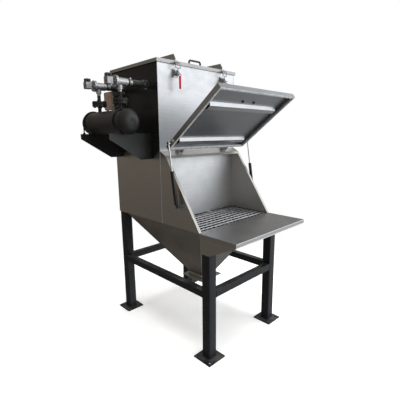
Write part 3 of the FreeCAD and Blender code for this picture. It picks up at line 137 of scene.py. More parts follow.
world = bpy.data.worlds.new("studio")
bpy.context.scene.world = world
world.use_nodes = True
sky = world.node_tree
sky.nodes.clear()
heading = add(sky, "SeparateXYZ", i0=add(sky, "TexCoord").outputs["Generated"]).outputs
lean = calc(sky, "SUBTRACT", heading["X"], heading["Y"])
bright_side = remap(sky, lean, 0.45, 1.4, 0.34, 1.65)
dark_side = remap(sky, lean, -1.4, 0.0, -0.09, 0.0)
rise = remap(sky, heading["Z"], -0.25, 0.16, 0.48, 1.0)
studio_tone = calc(sky, "MULTIPLY", calc(sky, "ADD", bright_side, dark_side), rise)
tint = blend_colour(sky, remap(sky, lean, -1.0, 1.0), (1.0, 0.90, 0.78), (0.96, 0.985, 1.0))
seen = add(sky, "LightPath").outputs["Is Camera Ray"]
tone = add(sky, "Mix", {"data_type": "FLOAT"}, Factor=seen, A=studio_tone, B=1.0).outputs[0]
glow = add(sky, "Background", Color=blend_colour(sky, seen, tint, (1.0, 1.0, 1.0)), Strength=tone)
add(sky, "OutputWorld", i0=glow.outputs[0])

floor_mesh = bpy.data.meshes.new("floor")
reach = 14.0
floor_mesh.from_pydata([(-reach, -reach, 0), (reach, -reach, 0), (reach, reach, 0), (-reach, reach, 0)],
                       [], [(0, 1, 2, 3)])
floor = bpy.data.objects.new("floor", floor_mesh)
bpy.context.scene.collection.objects.link(floor)
floor.visible_glossy = False
floor_paint, floor_tree, floor_shader = new_finish("floor_paint")
floor_place = add(floor_tree, "TexCoord").outputs["Object"]
far = add(floor_tree, "VectorMath", {"operation": "LENGTH"}, i0=floor_place).outputs["Value"]
feed(floor_tree, floor_shader, Base_Color=(0.93, 0.93, 0.93, 1), Roughness=0.95, Specular_IOR_Level=0.1,
     Emission_Color=(1, 1, 1, 1), Emission_Strength=0.28,
     Alpha=remap(floor_tree, far, 0.7, 2.6, 1.0, 0.0))
floor_mesh.materials.append(floor_paint)

# ------------------------------------------------------------------ stand
# Four square tube legs on plates, tied by square tube braces. Mild steel, welded,
# then painted as one frame in a very dark blue-grey.


def shader_group(name, inputs, outputs):
    """Empty node group: named number inputs with their defaults, and named number outputs."""
    tree = bpy.data.node_groups.new(name, "ShaderNodeTree")
    for label, value in inputs.items():
        socket = tree.interface.new_socket(label, in_out="INPUT", socket_type="NodeSocketFloat")
        socket.default_value = value
    for label in outputs:
        tree.interface.new_socket(label, in_out="OUTPUT", socket_type="NodeSocketFloat")
    return tree, tree.nodes.new("NodeGroupInput").outputs, tree.nodes.new("NodeGroupOutput")


def placed_group(tree, group, **inputs):
    """Outputs of a node group placed in a material with its own values."""
    return add(tree, "Group", {"node_tree": group}, **inputs).outputs


def noise(tree, vector, scale, detail=4.0, rough=0.55, distortion=0.0):
    return add(tree, "TexNoise", Vector=vector, Scale=scale, Detail=detail, Roughness=rough,
               Distortion=distortion).outputs["Fac"]


def object_place(tree):
    return add(tree, "TexCoord").outputs["Object"]


def face_height(tree):
    """How far a face looks upward: 1 up, 0 upright, -1 down."""
    return add(tree, "SeparateXYZ", i0=add(tree, "TexCoord").outputs["Normal"]).outputs["Z"]


def bumped(tree, height, strength, distance, **below):
    return add(tree, "Bump", Height=height, Strength=strength, Distance=distance, **below).outputs[0]


def laid_over(tree, shade, mask, share, colour):
    """Lay a colour over a shade by a share of a mask."""
    return blend_colour(tree, calc(tree, "MULTIPLY", mask, share), shade, colour)


def scaled(colour, factor, lift=0.0):
    return tuple(min(1, c * factor + lift) for c in colour)


def rubbed_edges_group():
    """Mask of outer and inner edges, broken up by noise."""
    tree, given, out = shader_group("rubbed_edges", {"Radius": 0.003, "Amount": 0.5}, ["Mask"])
    rounded = add(tree, "Bevel", {"samples": 4}, Radius=given["Radius"]).outputs[0]
    flat = add(tree, "NewGeometry").outputs["Normal"]
    turn = add(tree, "VectorMath", {"operation": "DOT_PRODUCT"}, i0=rounded, i1=flat).outputs["Value"]
    edge = remap(tree, calc(tree, "SUBTRACT", 1.0, turn), 0.01, 0.16)
    gate = calc(tree, "SUBTRACT", 0.86, calc(tree, "MULTIPLY", given["Amount"], 0.6))
    chips = noise(tree, object_place(tree), 40.0, 6.0, 0.7)
    chipped = add(tree, "MapRange", Value=chips, From_Min=gate, From_Max=0.9).outputs[0]
    feed(tree, out, Mask=calc(tree, "MULTIPLY", edge, chipped, clamp=True))
    return tree


def settled_dust_group():
    """Mask of fine powder lying on upward faces and clinging lightly elsewhere."""
    tree, given, out = shader_group("settled_dust", {"Amount": 0.5, "Cling": 0.1}, ["Mask"])
    place = object_place(tree)
    top = remap(tree, face_height(tree), 0.35, 1.0)
    drift = remap(tree, noise(tree, place, 9.0, 8.0, 0.62), 0.36, 0.68)
    speck = remap(tree, noise(tree, place, 160.0, 3.0, 0.6), 0.42, 0.75)
    lying = calc(tree, "MULTIPLY", calc(tree, "MULTIPLY", top, given["Amount"]), drift)
    film = calc(tree, "MULTIPLY", calc(tree, "MULTIPLY", given["Cling"], speck), drift)
    feed(tree, out, Mask=calc(tree, "ADD", lying, film, clamp=True))
    return tree


def paint_skin_group():
    """Height of sprayed paint: orange peel over slow sags, with a few grains of dirt in it."""
    tree, given, out = shader_group("paint_skin", {"Peel": 0.6}, ["Height", "Mottle"])
    place = object_place(tree)
    sag = noise(tree, place, 14.0, 3.0, 0.5)
    grit = add(tree, "TexVoronoi", {"feature": "F1"}, Vector=place, Scale=90.0).outputs["Distance"]
    pip = calc(tree, "SUBTRACT", 1.0, remap(tree, grit, 0.02, 0.08))
    height = calc(tree, "MULTIPLY_ADD", noise(tree, place, 420.0, 2.0, 0.5), given["Peel"],
                  calc(tree, "MULTIPLY", sag, 0.8))
    feed(tree, out, Height=calc(tree, "MULTIPLY_ADD", pip, 0.35, height),
         Mottle=noise(tree, place, 5.0, 6.0, 0.6))
    return tree


def scuffs_group():
    """Thin scratches in mixed directions and the dull patches around them."""
    tree, given, out = shader_group("scuffs", {"Density": 0.5}, ["Lines", "Patches"])
    place = object_place(tree)
    lines = 0.0
    for turn, stretch in ((0.5, 34.0), (1.9, 26.0), (2.8, 40.0)):
        spun = add(tree, "Mapping", Vector=place, Rotation=(turn, turn * 1.7, turn * 0.6),
                   Scale=(1.5, stretch, stretch)).outputs[0]
        streak = calc(tree, "SUBTRACT", noise(tree, spun, 5.0, 2.0, 0.4, 0.4), 0.5)
        thin = remap(tree, calc(tree, "ABSOLUTE", streak), 0.0, 0.006)
        lines = calc(tree, "MAXIMUM", lines, calc(tree, "SUBTRACT", 1.0, thin))
    patch = remap(tree, noise(tree, place, 6.0, 5.0, 0.6), 0.5, 0.72)
    feed(tree, out, Lines=calc(tree, "MULTIPLY", calc(tree, "MULTIPLY", lines, patch), given["Density"]),
         Patches=patch)
    return tree


RUBBED_EDGES = rubbed_edges_group()
SETTLED_DUST = settled_dust_group()
PAINT_SKIN = paint_skin_group()
SCUFFS = scuffs_group()


def sprayed_paint(name, colour, bare, roughness, wear, dust, shine, peel=0.6, cling=0.03, coat=0.0):
    """Paint over steel: orange peel, mottled colour, rubbed edges, scuffs and settled dust."""
    material, tree, shader = new_finish(name)
    skin = placed_group(tree, PAINT_SKIN, Peel=peel)
    edges = placed_group(tree, RUBBED_EDGES, Radius=0.0025, Amount=wear)["Mask"]
    powder = placed_group(tree, SETTLED_DUST, Amount=dust, Cling=cling)["Mask"]
    marks = placed_group(tree, SCUFFS, Density=0.35)
    shade = blend_colour(tree, remap(tree, skin["Mottle"], 0.3, 0.7), scaled(colour, 0.62), colour)
    shade = blend_colour(tree, marks["Lines"], shade, scaled(colour, 1.5, 0.006))
    shade = blend_colour(tree, edges, shade, bare)
    shade = laid_over(tree, shade, powder, 0.55, (0.42, 0.40, 0.37))
    rough = calc(tree, "MULTIPLY_ADD", marks["Patches"], 0.10, roughness)
    rough = calc(tree, "MULTIPLY_ADD", powder, 0.35, rough, clamp=True)
    feed(tree, shader, Base_Color=shade, Roughness=rough, Metallic=calc(tree, "MULTIPLY", edges, 0.8),
         Specular_IOR_Level=shine, Coat_Weight=coat, Coat_Roughness=0.12,
         Normal=bumped(tree, skin["Height"], 0.35, 0.0004))
    return material


def dress(material, *names, bevel=0.0):
    """Give CAD pieces their material, and rounded edges where bevel is not zero."""
    for name in names:
        piece = nodes[name]
        piece.data.materials.clear()
        piece.data.materials.append(material)
        if bevel:
            rounding = piece.modifiers.new("rounding", "BEVEL")
            rounding.width = bevel
            rounding.segments = 2
            rounding.limit_method = "ANGLE"
            rounding.angle_limit = math.radians(35)
            rounding.harden_normals = False


def new_piece(name, shape, material, body, smooth=35.0):
    """Object from a bmesh, with its material, riding a body."""
    bmesh.ops.recalc_face_normals(shape, faces=shape.faces)
    mesh = bpy.data.meshes.new(name)
    shape.to_mesh(mesh)
    shape.free()
    piece = bpy.data.objects.new(name, mesh)
    bpy.context.scene.collection.objects.link(piece)
    mesh.materials.append(material)
    if smooth:
        mesh.shade_smooth()
        mesh.set_sharp_from_angle(angle=math.radians(smooth))
    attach(piece, body)
    return piece


def loft(shape, rings, ends="capped"):
    """Skin a run of rings of points; the ends are capped, topped, open or joined to each other."""
    rings = [[shape.verts.new(point) for point in ring] for ring in rings]
    followers = rings[1:] + (rings[:1] if ends == "joined" else [])
    for ring, after in zip(rings, followers):
        for k, vert in enumerate(ring):
            n = (k + 1) % len(ring)
            shape.faces.new((vert, ring[n], after[n], after[k]))
    for cap in {"capped": (rings[0], rings[-1]), "topped": rings[-1:]}.get(ends, ()):
        shape.faces.new(cap)


def square_tube(shape, start, end, size, wall, corner, upright):
    """Add a rolled square tube with rounded corners, open at both ends."""
    start, end = Vector(start), Vector(end)
    along = (end - start).normalized()
    side = Vector(upright).cross(along).normalized()
    lift = along.cross(side)
    outer, inner = (size / 2, corner), (size / 2 - wall, corner - wall / 2)
    rings = []
    for (half, radius), at in ((outer, start), (outer, end), (inner, end), (inner, start)):
        ring = []
        for quarter in range(4):
            for step in range(5):
                angle = math.radians(90 * quarter + 22.5 * step)
                sign_x = 1 if quarter in (0, 3) else -1
                sign_y = 1 if quarter in (0, 1) else -1
                across_x = sign_x * (half - radius) + radius * math.cos(angle)
                across_y = sign_y * (half - radius) + radius * math.sin(angle)
                ring.append(at + side * across_x + lift * across_y)
        rings.append(ring)
    loft(shape, rings, "joined")


def weld_bead(shape, points, radius, pitch=0.005, closed=False):
    """Add a rippled weld bead along a run of points."""
    points = [Vector(p) for p in points]
    if closed:
        points.append(points[0])
    for first, second in zip(points, points[1:]):
        run = second - first
        steps = max(2, round(run.length / pitch) * 3)
        along = run.normalized()
        helper = Vector((0, 0, 1)) if abs(along.z) < 0.8 else Vector((1, 0, 0))
        side = along.cross(helper).normalized()
        lift = side.cross(along)
        rings = []
        for k in range(steps + 1):
            swell = radius * (0.82 + 0.22 * ((k % 3) / 2)) * random.uniform(0.93, 1.07)
            at = first + run * (k / steps)
            rings.append([at + (side * math.cos(a) + lift * math.sin(a)) * swell
                          for a in (math.radians(45 * j) for j in range(8))])
        loft(shape, rings)


SQUARE = ((-1, -1), (1, -1), (1, 1), (-1, 1))

stand_paint = sprayed_paint("stand_paint", (0.008, 0.0100, 0.0145), (0.22, 0.21, 0.20), 0.46, wear=0.3,
                            dust=0.3, shine=0.4)
plate_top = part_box("foot_plates")[1].z
leg_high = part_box("legs")[1]
leg_tube = 0.080
leg_half = leg_tube / 2
leg_x = leg_high.x - leg_half
leg_y = leg_high.y - leg_half
brace_low, brace_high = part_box("stand_braces")
brace_tube = brace_high.z - brace_low.z
brace_half = brace_tube / 2
brace_z = (brace_low.z + brace_high.z) / 2
floor_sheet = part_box("lower_rear")[0].z
stand = bmesh.new()
beads = bmesh.new()
for side in (-1, 1):
    for row in (-1, 1):
        top = leg_high.z if row < 0 else floor_sheet
        square_tube(stand, (side * leg_x, row * leg_y, plate_top), (side * leg_x, row * leg_y, top),
                    leg_tube, 0.004, 0.009, (0, 1, 0))
        foot_corners = [(side * leg_x + a * leg_half, row * leg_y + b * leg_half, plate_top) for a, b in SQUARE]
        weld_bead(beads, foot_corners, 0.0042, closed=True)
new_piece("leg_tubes", stand, stand_paint, "station")
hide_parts("legs")

braces = bmesh.new()
inner_x = leg_x - leg_half
inner_y = leg_y - leg_half
outer_x = leg_x + leg_half - brace_half
outer_y = leg_y + leg_half - brace_half
bead_half = brace_half - 0.002
for side in (-1, 1):
    square_tube(braces, (-inner_x, side * outer_y, brace_z), (inner_x, side * outer_y, brace_z),
                brace_tube, 0.003, 0.007, (0, 0, 1))
    square_tube(braces, (side * outer_x, -inner_y, brace_z), (side * outer_x, inner_y, brace_z),
                brace_tube, 0.003, 0.007, (0, 0, 1))
    for other in (-1, 1):
        cross_joint = [(other * inner_x, side * outer_y + a * bead_half, brace_z + b * bead_half)
                       for a, b in SQUARE]
        side_joint = [(side * outer_x + a * bead_half, other * inner_y, brace_z + b * bead_half)
                      for a, b in SQUARE]
        for corners in (cross_joint, side_joint):
            weld_bead(beads, corners, 0.0036, closed=True)
new_piece("brace_tubes", braces, stand_paint, "station")
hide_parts("stand_braces")
new_piece("stand_welds", beads, stand_paint, "station", smooth=60)
dress(stand_paint, "foot_plates", bevel=0.0012)

# ------------------------------------------------------------------ hopper
# Four-sided funnel of stainless sheet under the hood, welded at its corners, with
# a square spout and a drilled flange for the bin or conveyor below.


def brushed_grain_group():
    """Fine streaks along the sheet's rolling direction: along X, or along Y on the side walls."""
    tree, given, out = shader_group("brushed_grain", {"Wipe": 0.5}, ["Streak", "Smudge", "Wave"])
    place = object_place(tree)
    lying = remap(tree, calc(tree, "ABSOLUTE", face_height(tree)), 0.6, 0.8)
    at = add(tree, "SeparateXYZ", i0=place).outputs
    cross = calc(tree, "MULTIPLY_ADD", calc(tree, "SUBTRACT", at["Y"], at["Z"]), lying, at["Z"])
    run = calc(tree, "MULTIPLY_ADD", at["Y"], calc(tree, "SUBTRACT", 1.0, lying), at["X"])
    streaks = []
    for length, fineness, detail, rough in ((6.0, 900.0, 3.0, 0.6), (1.2, 170.0, 2.0, 0.5)):
        lines = add(tree, "CombineXYZ", X=calc(tree, "MULTIPLY", run, length),
                    Y=calc(tree, "MULTIPLY", cross, fineness)).outputs[0]
        streaks.append(noise(tree, lines, 1.0, detail, rough))
    fine, broad = streaks
    wiped = remap(tree, noise(tree, place, 7.0, 5.0, 0.6, 0.6), 0.40, 0.72)
    feed(tree, out, Streak=calc(tree, "MULTIPLY_ADD", broad, 0.2, calc(tree, "MULTIPLY", fine, 0.8)),
         Smudge=calc(tree, "MULTIPLY", wiped, given["Wipe"]), Wave=noise(tree, place, 2.6, 1.0, 0.4))
    return tree


BRUSHED_GRAIN = brushed_grain_group()


def sheet_stainless(name, colour, roughness, wave=0.6, dust=0.15, cling=0.05, wipe=0.5, funnel_shade=0.0):
    """Brushed stainless sheet: grain, wiped smudges, shallow waves, scratches and a little powder.

    The last argument is how far the faces that look upward are darkened almost to black: painted shade inside
    the funnel."""
    material, tree, shader = new_finish(name)
    grain = placed_group(tree, BRUSHED_GRAIN, Wipe=wipe)
    lines = placed_group(tree, SCUFFS, Density=0.5)["Lines"]
    edges = placed_group(tree, RUBBED_EDGES, Radius=0.002, Amount=0.9)["Mask"]
    powder = placed_group(tree, SETTLED_DUST, Amount=dust, Cling=cling)["Mask"]
    streak = remap(tree, grain["Streak"], 0.3, 0.7)
    shade = blend_colour(tree, streak, scaled(colour, 0.90), scaled(colour, 1.08))
    shade = laid_over(tree, shade, grain["Smudge"], 0.35, scaled(colour, 0.72))
    shade = laid_over(tree, shade, edges, 0.9, scaled(colour, 1.5))
    shade = laid_over(tree, shade, powder, 0.6, (0.62, 0.60, 0.56))
    if funnel_shade:
        # Painted shade: faces that look upward, the funnel's inside, go almost black.
        upward = remap(tree, face_height(tree), 0.05, 0.25)
        shade = laid_over(tree, shade, upward, funnel_shade, (0.012, 0.011, 0.010))
    rough = calc(tree, "MULTIPLY_ADD", grain["Streak"], 0.16, roughness - 0.08)
    rough = calc(tree, "MULTIPLY_ADD", grain["Smudge"], 0.14, rough)
    rough = calc(tree, "MULTIPLY_ADD", lines, 0.2, rough)
    rough = calc(tree, "MULTIPLY_ADD", powder, 0.4, rough, clamp=True)
    scratched = calc(tree, "SUBTRACT", grain["Streak"], lines)
    waves = bumped(tree, grain["Wave"], wave, 0.006)
    feed(tree, shader, Base_Color=shade, Roughness=rough,
         Metallic=calc(tree, "MULTIPLY_ADD", powder, -0.7, 1.0),
         Normal=bumped(tree, scratched, 0.25, 0.00012, Normal=waves))
    return material


# The hopper's inside faces are darkened almost to black as painted shade.
hopper_sheet = sheet_stainless("hopper_sheet", (0.40, 0.39, 0.37), 0.42, wave=0.2, dust=0.0, cling=0.05,
                               funnel_shade=0.97)
outlet_sheet = sheet_stainless("outlet_sheet", (0.62, 0.61, 0.60), 0.38, wave=0.1, dust=0.3)
dress(hopper_sheet, "hopper", bevel=0.001)
dress(outlet_sheet, "hopper_outlet", bevel=0.001)
hopper_low, hopper_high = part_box("hopper")
outlet_low, outlet_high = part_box("hopper_outlet")
spout_half = 0.088
outlet_y = (outlet_low.y + outlet_high.y) / 2
funnel_seams = bmesh.new()
for side in (-1, 1):
    for edge_y, spout_y in ((hopper_low.y, outlet_y - spout_half), (hopper_high.y, outlet_y + spout_half)):
        weld_bead(funnel_seams, [(side * hopper_high.x, edge_y, hopper_high.z - 0.004),
                                 (side * spout_half, spout_y, hopper_low.z)], 0.0026, pitch=0.006)
spout_ring = [(a * spout_half, outlet_y + b * spout_half) for a, b in SQUARE]
weld_bead(funnel_seams, [(x, y, hopper_low.z) for x, y in spout_ring], 0.0028, closed=True)
weld_bead(funnel_seams, [(x, y, outlet_low.z + 0.0075) for x, y in spout_ring], 0.003, closed=True)
new_piece("hopper_welds", funnel_seams, hopper_sheet, "station", smooth=60)

# ------------------------------------------------------------------ sack grate
# Galvanised bar grate that holds the sack while it empties, lifted out by two lugs,
# resting on flat bars across the hopper's mouth.


def galvanised(name):
    """Hot-dip zinc: large dull crystals, darker seams between them and grey powder on top."""
    material, tree, shader = new_finish(name)
    place = object_place(tree)
    crystal = add(tree, "TexVoronoi", {"feature": "F1"}, Vector=place, Scale=85.0)
    tone = add(tree, "SeparateColor", i0=crystal.outputs["Color"]).outputs[0]
    powder = placed_group(tree, SETTLED_DUST, Amount=0.8, Cling=0.25)["Mask"]
    edges = placed_group(tree, RUBBED_EDGES, Radius=0.0015, Amount=0.9)["Mask"]
    shade = blend_colour(tree, tone, (0.42, 0.43, 0.44), (0.66, 0.67, 0.68))
    shade = laid_over(tree, shade, edges, 0.6, (0.66, 0.66, 0.66))
    shade = laid_over(tree, shade, powder, 0.6, (0.45, 0.43, 0.40))
    feed(tree, shader, Base_Color=shade, Roughness=calc(tree, "MULTIPLY_ADD", tone, 0.2, 0.38),
         Metallic=calc(tree, "MULTIPLY_ADD", powder, -0.7, 0.9),
         Normal=bumped(tree, noise(tree, place, 140.0, 3.0), 0.3, 0.0004))
    return material


grate_zinc = galvanised("grate_zinc")
dress(grate_zinc, "grate", "grate_rails")

# ------------------------------------------------------------------ hood and shelf
# Cheeks, sloping ledge and sack shelf of brushed stainless sheet, folded and welded
# into one hood; the shelf stands on a gusset welded to each front leg.
hood_stainless = sheet_stainless("hood_stainless", (0.56, 0.54, 0.51), 0.36, wave=0.12, wipe=0.2)
shelf_stainless = sheet_stainless("shelf_stainless", (0.48, 0.48, 0.48), 0.42, wave=0.04, dust=0.05,
                                  wipe=0.06)
lining_stainless = sheet_stainless("lining_stainless", (0.80, 0.815, 0.835), 0.46, wave=0.15, dust=0.3,
                                   cling=0.8)
dress(hood_stainless, "hood_wing_left", "hood_wing_right", "header_ledge", bevel=0.0012)
dress(shelf_stainless, "shelf", bevel=0.0022)
dress(hood_stainless, "shelf_brackets", bevel=0.001)
shelf_low, shelf_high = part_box("shelf")
dress(lining_stainless, "baffle", bevel=0.0012)
# Near-white stainless for the weld beads and the shelf's hemmed lip: partly polished metal, partly a painted
# highlight along these edges.
highlight_stainless = sheet_stainless("highlight_stainless", (0.85, 0.85, 0.86), 0.24, wave=0.0, dust=0.1)
cheek_low, cheek_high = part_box("lower_side_panels")
hood_seams = bmesh.new()
for side in (-1, 1):
    weld_bead(hood_seams, [(side * cheek_high.x, cheek_low.y, cheek_low.z + 0.002),
                           (side * cheek_high.x, cheek_low.y, cheek_high.z)], 0.0024, pitch=0.007)
new_piece("hood_welds", hood_seams, highlight_stainless, "station", smooth=60)
# The hem's two rounded edges are near-white: a painted highlight along the shelf lip.
shelf_hem = bmesh.new()
hem_r = 0.0022
for hem_z in (shelf_low.z + hem_r, shelf_high.z - 0.0030):
    loft(shelf_hem, [[(end, shelf_low.y + 0.0012 - hem_r * math.cos(math.radians(30 * k)),
                       hem_z + hem_r * math.sin(math.radians(30 * k))) for k in range(12)]
                     for end in (shelf_low.x + 0.001, shelf_high.x - 0.001)])
new_piece("shelf_hem", shelf_hem, highlight_stainless, "station", smooth=40)

# ------------------------------------------------------------------ housing
# Panels of the filter housing. The valve side is painted black, the others are
# left brushed; all are welded at the corners over the seam at hood height.
housing_stainless = sheet_stainless("housing_stainless", (0.70, 0.71, 0.73), 0.38, wave=0.1)
side_black = sprayed_paint("side_black", (0.005, 0.005, 0.005), (0.40, 0.40, 0.41), 0.34, wear=0.35,
                           dust=0.15, shine=0.3, peel=0.4, cling=0.02, coat=0.1)
dress(housing_stainless, "upper_front_panel", "upper_right_panel", "upper_rear_panel", bevel=0.001)
dress(hood_stainless, "lower_side_panels", "lower_rear", bevel=0.001)
dress(side_black, "upper_left_panel", bevel=0.001)
dress(housing_stainless, "clean_air_outlet", bevel=0.0008)
left_low, left_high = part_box("upper_left_panel")
# The corner beads are near-white: polished weld with a painted highlight on the housing's corners.
corner_seams = bmesh.new()
for side in (-1, 1):
    corner_x = side * (-left_low.x - 0.001)
    for corner_y in (left_low.y + 0.001, left_high.y - 0.001):
        weld_bead(corner_seams, [(corner_x, corner_y, left_low.z), (corner_x, corner_y, left_high.z - 0.018)],
                  0.0028, pitch=0.007)
new_piece("housing_welds", corner_seams, highlight_stainless, "station", smooth=60)

# ------------------------------------------------------------------ filter
# Tube sheet welded across the housing, with four pleated paper cartridges hung below
# it between pressed steel caps, and two zinc plated pulse pipes above.


def machined(name, colour, roughness, dirt=0.3):
    """Plated or machined metal: fine grain, dulled patches, bright edges and a little powder."""
    material, tree, shader = new_finish(name)
    place = object_place(tree)
    dull = remap(tree, noise(tree, place, 22.0, 6.0, 0.65), 0.35, 0.7)
    edges = placed_group(tree, RUBBED_EDGES, Radius=0.0012, Amount=0.95)["Mask"]
    powder = placed_group(tree, SETTLED_DUST, Amount=0.35, Cling=0.1)["Mask"]
    shade = blend_colour(tree, dull, scaled(colour, 1 - dirt * 0.6), colour)
    shade = laid_over(tree, shade, edges, 0.5, scaled(colour, 1.3))
    shade = laid_over(tree, shade, powder, 0.6, (0.34, 0.32, 0.30))
    rough = calc(tree, "MULTIPLY_ADD", dull, -0.12, roughness + 0.08)
    rough = calc(tree, "MULTIPLY_ADD", powder, 0.4, rough, clamp=True)
    feed(tree, shader, Base_Color=shade, Roughness=rough, Metallic=1.0,
         Normal=bumped(tree, noise(tree, place, 900.0, 2.0), 0.2, 0.0001))
    return material


pipe_zinc = machined("pipe_zinc", (0.52, 0.53, 0.54), 0.38)
dress(pipe_zinc, "tube_sheet", "blow_pipes", bevel=0.0008)

pleat_paper, tree, shader = new_finish("pleat_paper")
place = object_place(tree)
fibre = noise(tree, place, 600.0, 4.0)
soot = remap(tree, noise(tree, place, 12.0, 5.0), 0.35, 0.75)
feed(tree, shader, Base_Color=blend_colour(tree, soot, (0.80, 0.78, 0.72), (0.55, 0.52, 0.47)),
     Roughness=calc(tree, "MULTIPLY_ADD", fibre, 0.2, 0.75), Normal=bumped(tree, fibre, 0.5, 0.0004))


def turned(shape, at, axis, profile, sides=24, turn=0.0):
    """Add a turned shape: radius and height pairs around an axis; six sides give a hexagon."""
    at = Vector(at)
    axis = Vector(axis).normalized()
    side = axis.orthogonal().normalized()
    lift = axis.cross(side)
    rings = []
    for radius, height in profile:
        centre = at + axis * height
        if radius <= 0:
            rings.append([shape.verts.new(centre)])
            continue
        angles = [turn + 2 * math.pi * k / sides for k in range(sides)]
        rings.append([shape.verts.new(centre + (side * math.cos(a) + lift * math.sin(a)) * radius)
                      for a in angles])
    for low, high in zip(rings, rings[1:]):
        for k in range(sides):
            n = (k + 1) % sides
            corners = []
            for vert in (low[k % len(low)], low[n % len(low)], high[n % len(high)], high[k % len(high)]):
                if vert not in corners:
                    corners.append(vert)
            if len(corners) > 2:
                shape.faces.new(corners)


cartridge_low, cartridge_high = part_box("filter_cartridges")
cartridge_r = 0.130
pleats = 120
pulse_rows = (0.062, 0.392)
cartridges = bmesh.new()
caps = bmesh.new()
for side in (-1, 1):
    for row in pulse_rows:
        x = side * (cartridge_high.x - cartridge_r)
        rings = []
        for height in (cartridge_low.z + 0.018, cartridge_high.z - 0.022):
            ring = []
            for k in range(2 * pleats):
                angle = math.pi * k / pleats
                fold_r = cartridge_r - 0.004 - (0.012 if k % 2 else 0.0)
                ring.append((x + fold_r * math.cos(angle), row + fold_r * math.sin(angle), height))
            rings.append(ring)
        loft(cartridges, rings, "open")
        turned(caps, (x, row, cartridge_low.z), (0, 0, 1),
               [(0, 0), (0.100, 0), (0.104, 0.003), (cartridge_r - 0.002, 0.003), (cartridge_r, 0.006),
                (cartridge_r, 0.020), (cartridge_r - 0.004, 0.022), (0.08, 0.022)], 64)
        turned(caps, (x, row, cartridge_high.z - 0.024), (0, 0, 1),
               [(0.08, 0), (cartridge_r - 0.004, 0), (cartridge_r, 0.002), (cartridge_r, 0.021),
                (cartridge_r - 0.002, 0.024), (0.08, 0.024), (0.08, 0)], 64)
new_piece("cartridge_pleats", cartridges, pleat_paper, "station", smooth=0)
new_piece("cartridge_caps", caps, pipe_zinc, "station")
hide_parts("filter_cartridges")
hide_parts("filter_cartridges")

# ------------------------------------------------------------------ lid
# Shallow stainless pan over the housing with a sponge rubber frame glued inside it,
# hinged at the rear; ribbed brackets above the clamps carry the keepers.
lid_stainless = sheet_stainless("lid_stainless", (0.42, 0.42, 0.42), 0.36, dust=0.5)
dress(lid_stainless, "lid", bevel=0.002)
dress(lid_stainless, "keeper_brackets", bevel=0.0008)


def moulded(name, colour, roughness, grain=700.0, depth=0.0002, dust=0.35, cling=0.1, sheen=0.25):
    """Rubber or plastic: moulded grain, rubbed patches, pale rubbed edges and powder."""
    material, tree, shader = new_finish(name)
    place = object_place(tree)
    rubbed = remap(tree, noise(tree, place, 30.0, 5.0, 0.6), 0.38, 0.7)
    edges = placed_group(tree, RUBBED_EDGES, Radius=0.0015, Amount=0.8)["Mask"]
    powder = placed_group(tree, SETTLED_DUST, Amount=dust, Cling=cling)["Mask"]
    paler = scaled(colour, 1.6, 0.012)
    shade = laid_over(tree, colour, rubbed, 0.6, paler)
    shade = laid_over(tree, shade, edges, 0.4, paler)
    shade = laid_over(tree, shade, powder, 0.5, (0.36, 0.34, 0.31))
    rough = calc(tree, "MULTIPLY_ADD", rubbed, -sheen * 0.4, roughness, clamp=True)
    feed(tree, shader, Base_Color=shade, Roughness=rough,
         Normal=bumped(tree, noise(tree, place, grain, 3.0), 0.5, depth))
    return material


seal_sponge = moulded("seal_sponge", (0.016, 0.016, 0.017), 0.75, grain=900.0, depth=0.0003)
handle_black = moulded("handle_black", (0.014, 0.014, 0.015), 0.40, grain=500.0, dust=0.2)
dress(seal_sponge, "lid_gasket", bevel=0.003)
dress(handle_black, "lid_handle")
lid_low, lid_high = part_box("lid")
handle_low, handle_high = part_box("lid_handle")
keeper_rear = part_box("keeper_brackets")[1].y
handle_r = (handle_high.y - handle_low.y) / 2
handle_y = (handle_high.y + handle_low.y) / 2
washers = bmesh.new()
for end in (-1, 1):
    turned(washers, (end * (handle_high.x - handle_r), handle_y, lid_high.z), (0, 0, 1),
           [(0, 0), (handle_r + 0.005, 0), (handle_r + 0.005, 0.001), (handle_r + 0.0035, 0.002),
            (handle_r - 0.001, 0.002), (handle_r - 0.001, 0)], 32)

fixing_zinc = machined("fixing_zinc", (0.56, 0.57, 0.58), 0.34)


def hex_bolt(shape, at, axis, flats, washer=True):
    """Add a hexagon head standing on a face, on a round washer if asked."""
    base = Vector(at)
    if washer:
        turned(shape, at, axis, [(0, 0), (flats * 0.62, 0), (flats * 0.62, flats * 0.08),
                                 (flats * 0.58, flats * 0.10), (0, flats * 0.10)], 24)
        base += Vector(axis).normalized() * flats * 0.10
    across = flats / math.sqrt(3)
    high = flats * 0.42
    head = [(0, 0), (across, 0), (across, high * 0.82), (across * 0.88, high), (0, high)]
    turned(shape, base, axis, head, 6, random.uniform(0, 1.0))


new_piece("lid_handle_washers", washers, fixing_zinc, "lid")
clamp_low, clamp_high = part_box("clamp_bases")
clamp_width = 0.056
clamp_x = clamp_high.x - clamp_width / 2
lid_top = lid_high.z + 0.004
lid_fixings = bmesh.new()
rib_beads = bmesh.new()
for side in (-1, 1):
    for off_x in (-0.017, 0.017):
        for at_y in (-0.045, 0.055, 0.155):
            turned(lid_fixings, (side * clamp_x + off_x, at_y, lid_top), (0, 0, 1),
                   [(0.0055, 0), (0.0055, 0.0014), (0.0042, 0.003), (0.0022, 0.0037), (0.0016, 0.003),
                    (0, 0.003)], 20)
    for off_x in (-0.0035, 0.0035):
        weld_bead(rib_beads, [(side * clamp_x + off_x, keeper_rear - 0.02, lid_high.z + 0.005),
                              (side * clamp_x + off_x, lid_low.y + 0.004, lid_high.z + 0.005)], 0.0024)
new_piece("keeper_screws", lid_fixings, fixing_zinc, "lid")
new_piece("keeper_welds", rib_beads, lid_stainless, "lid", smooth=60)

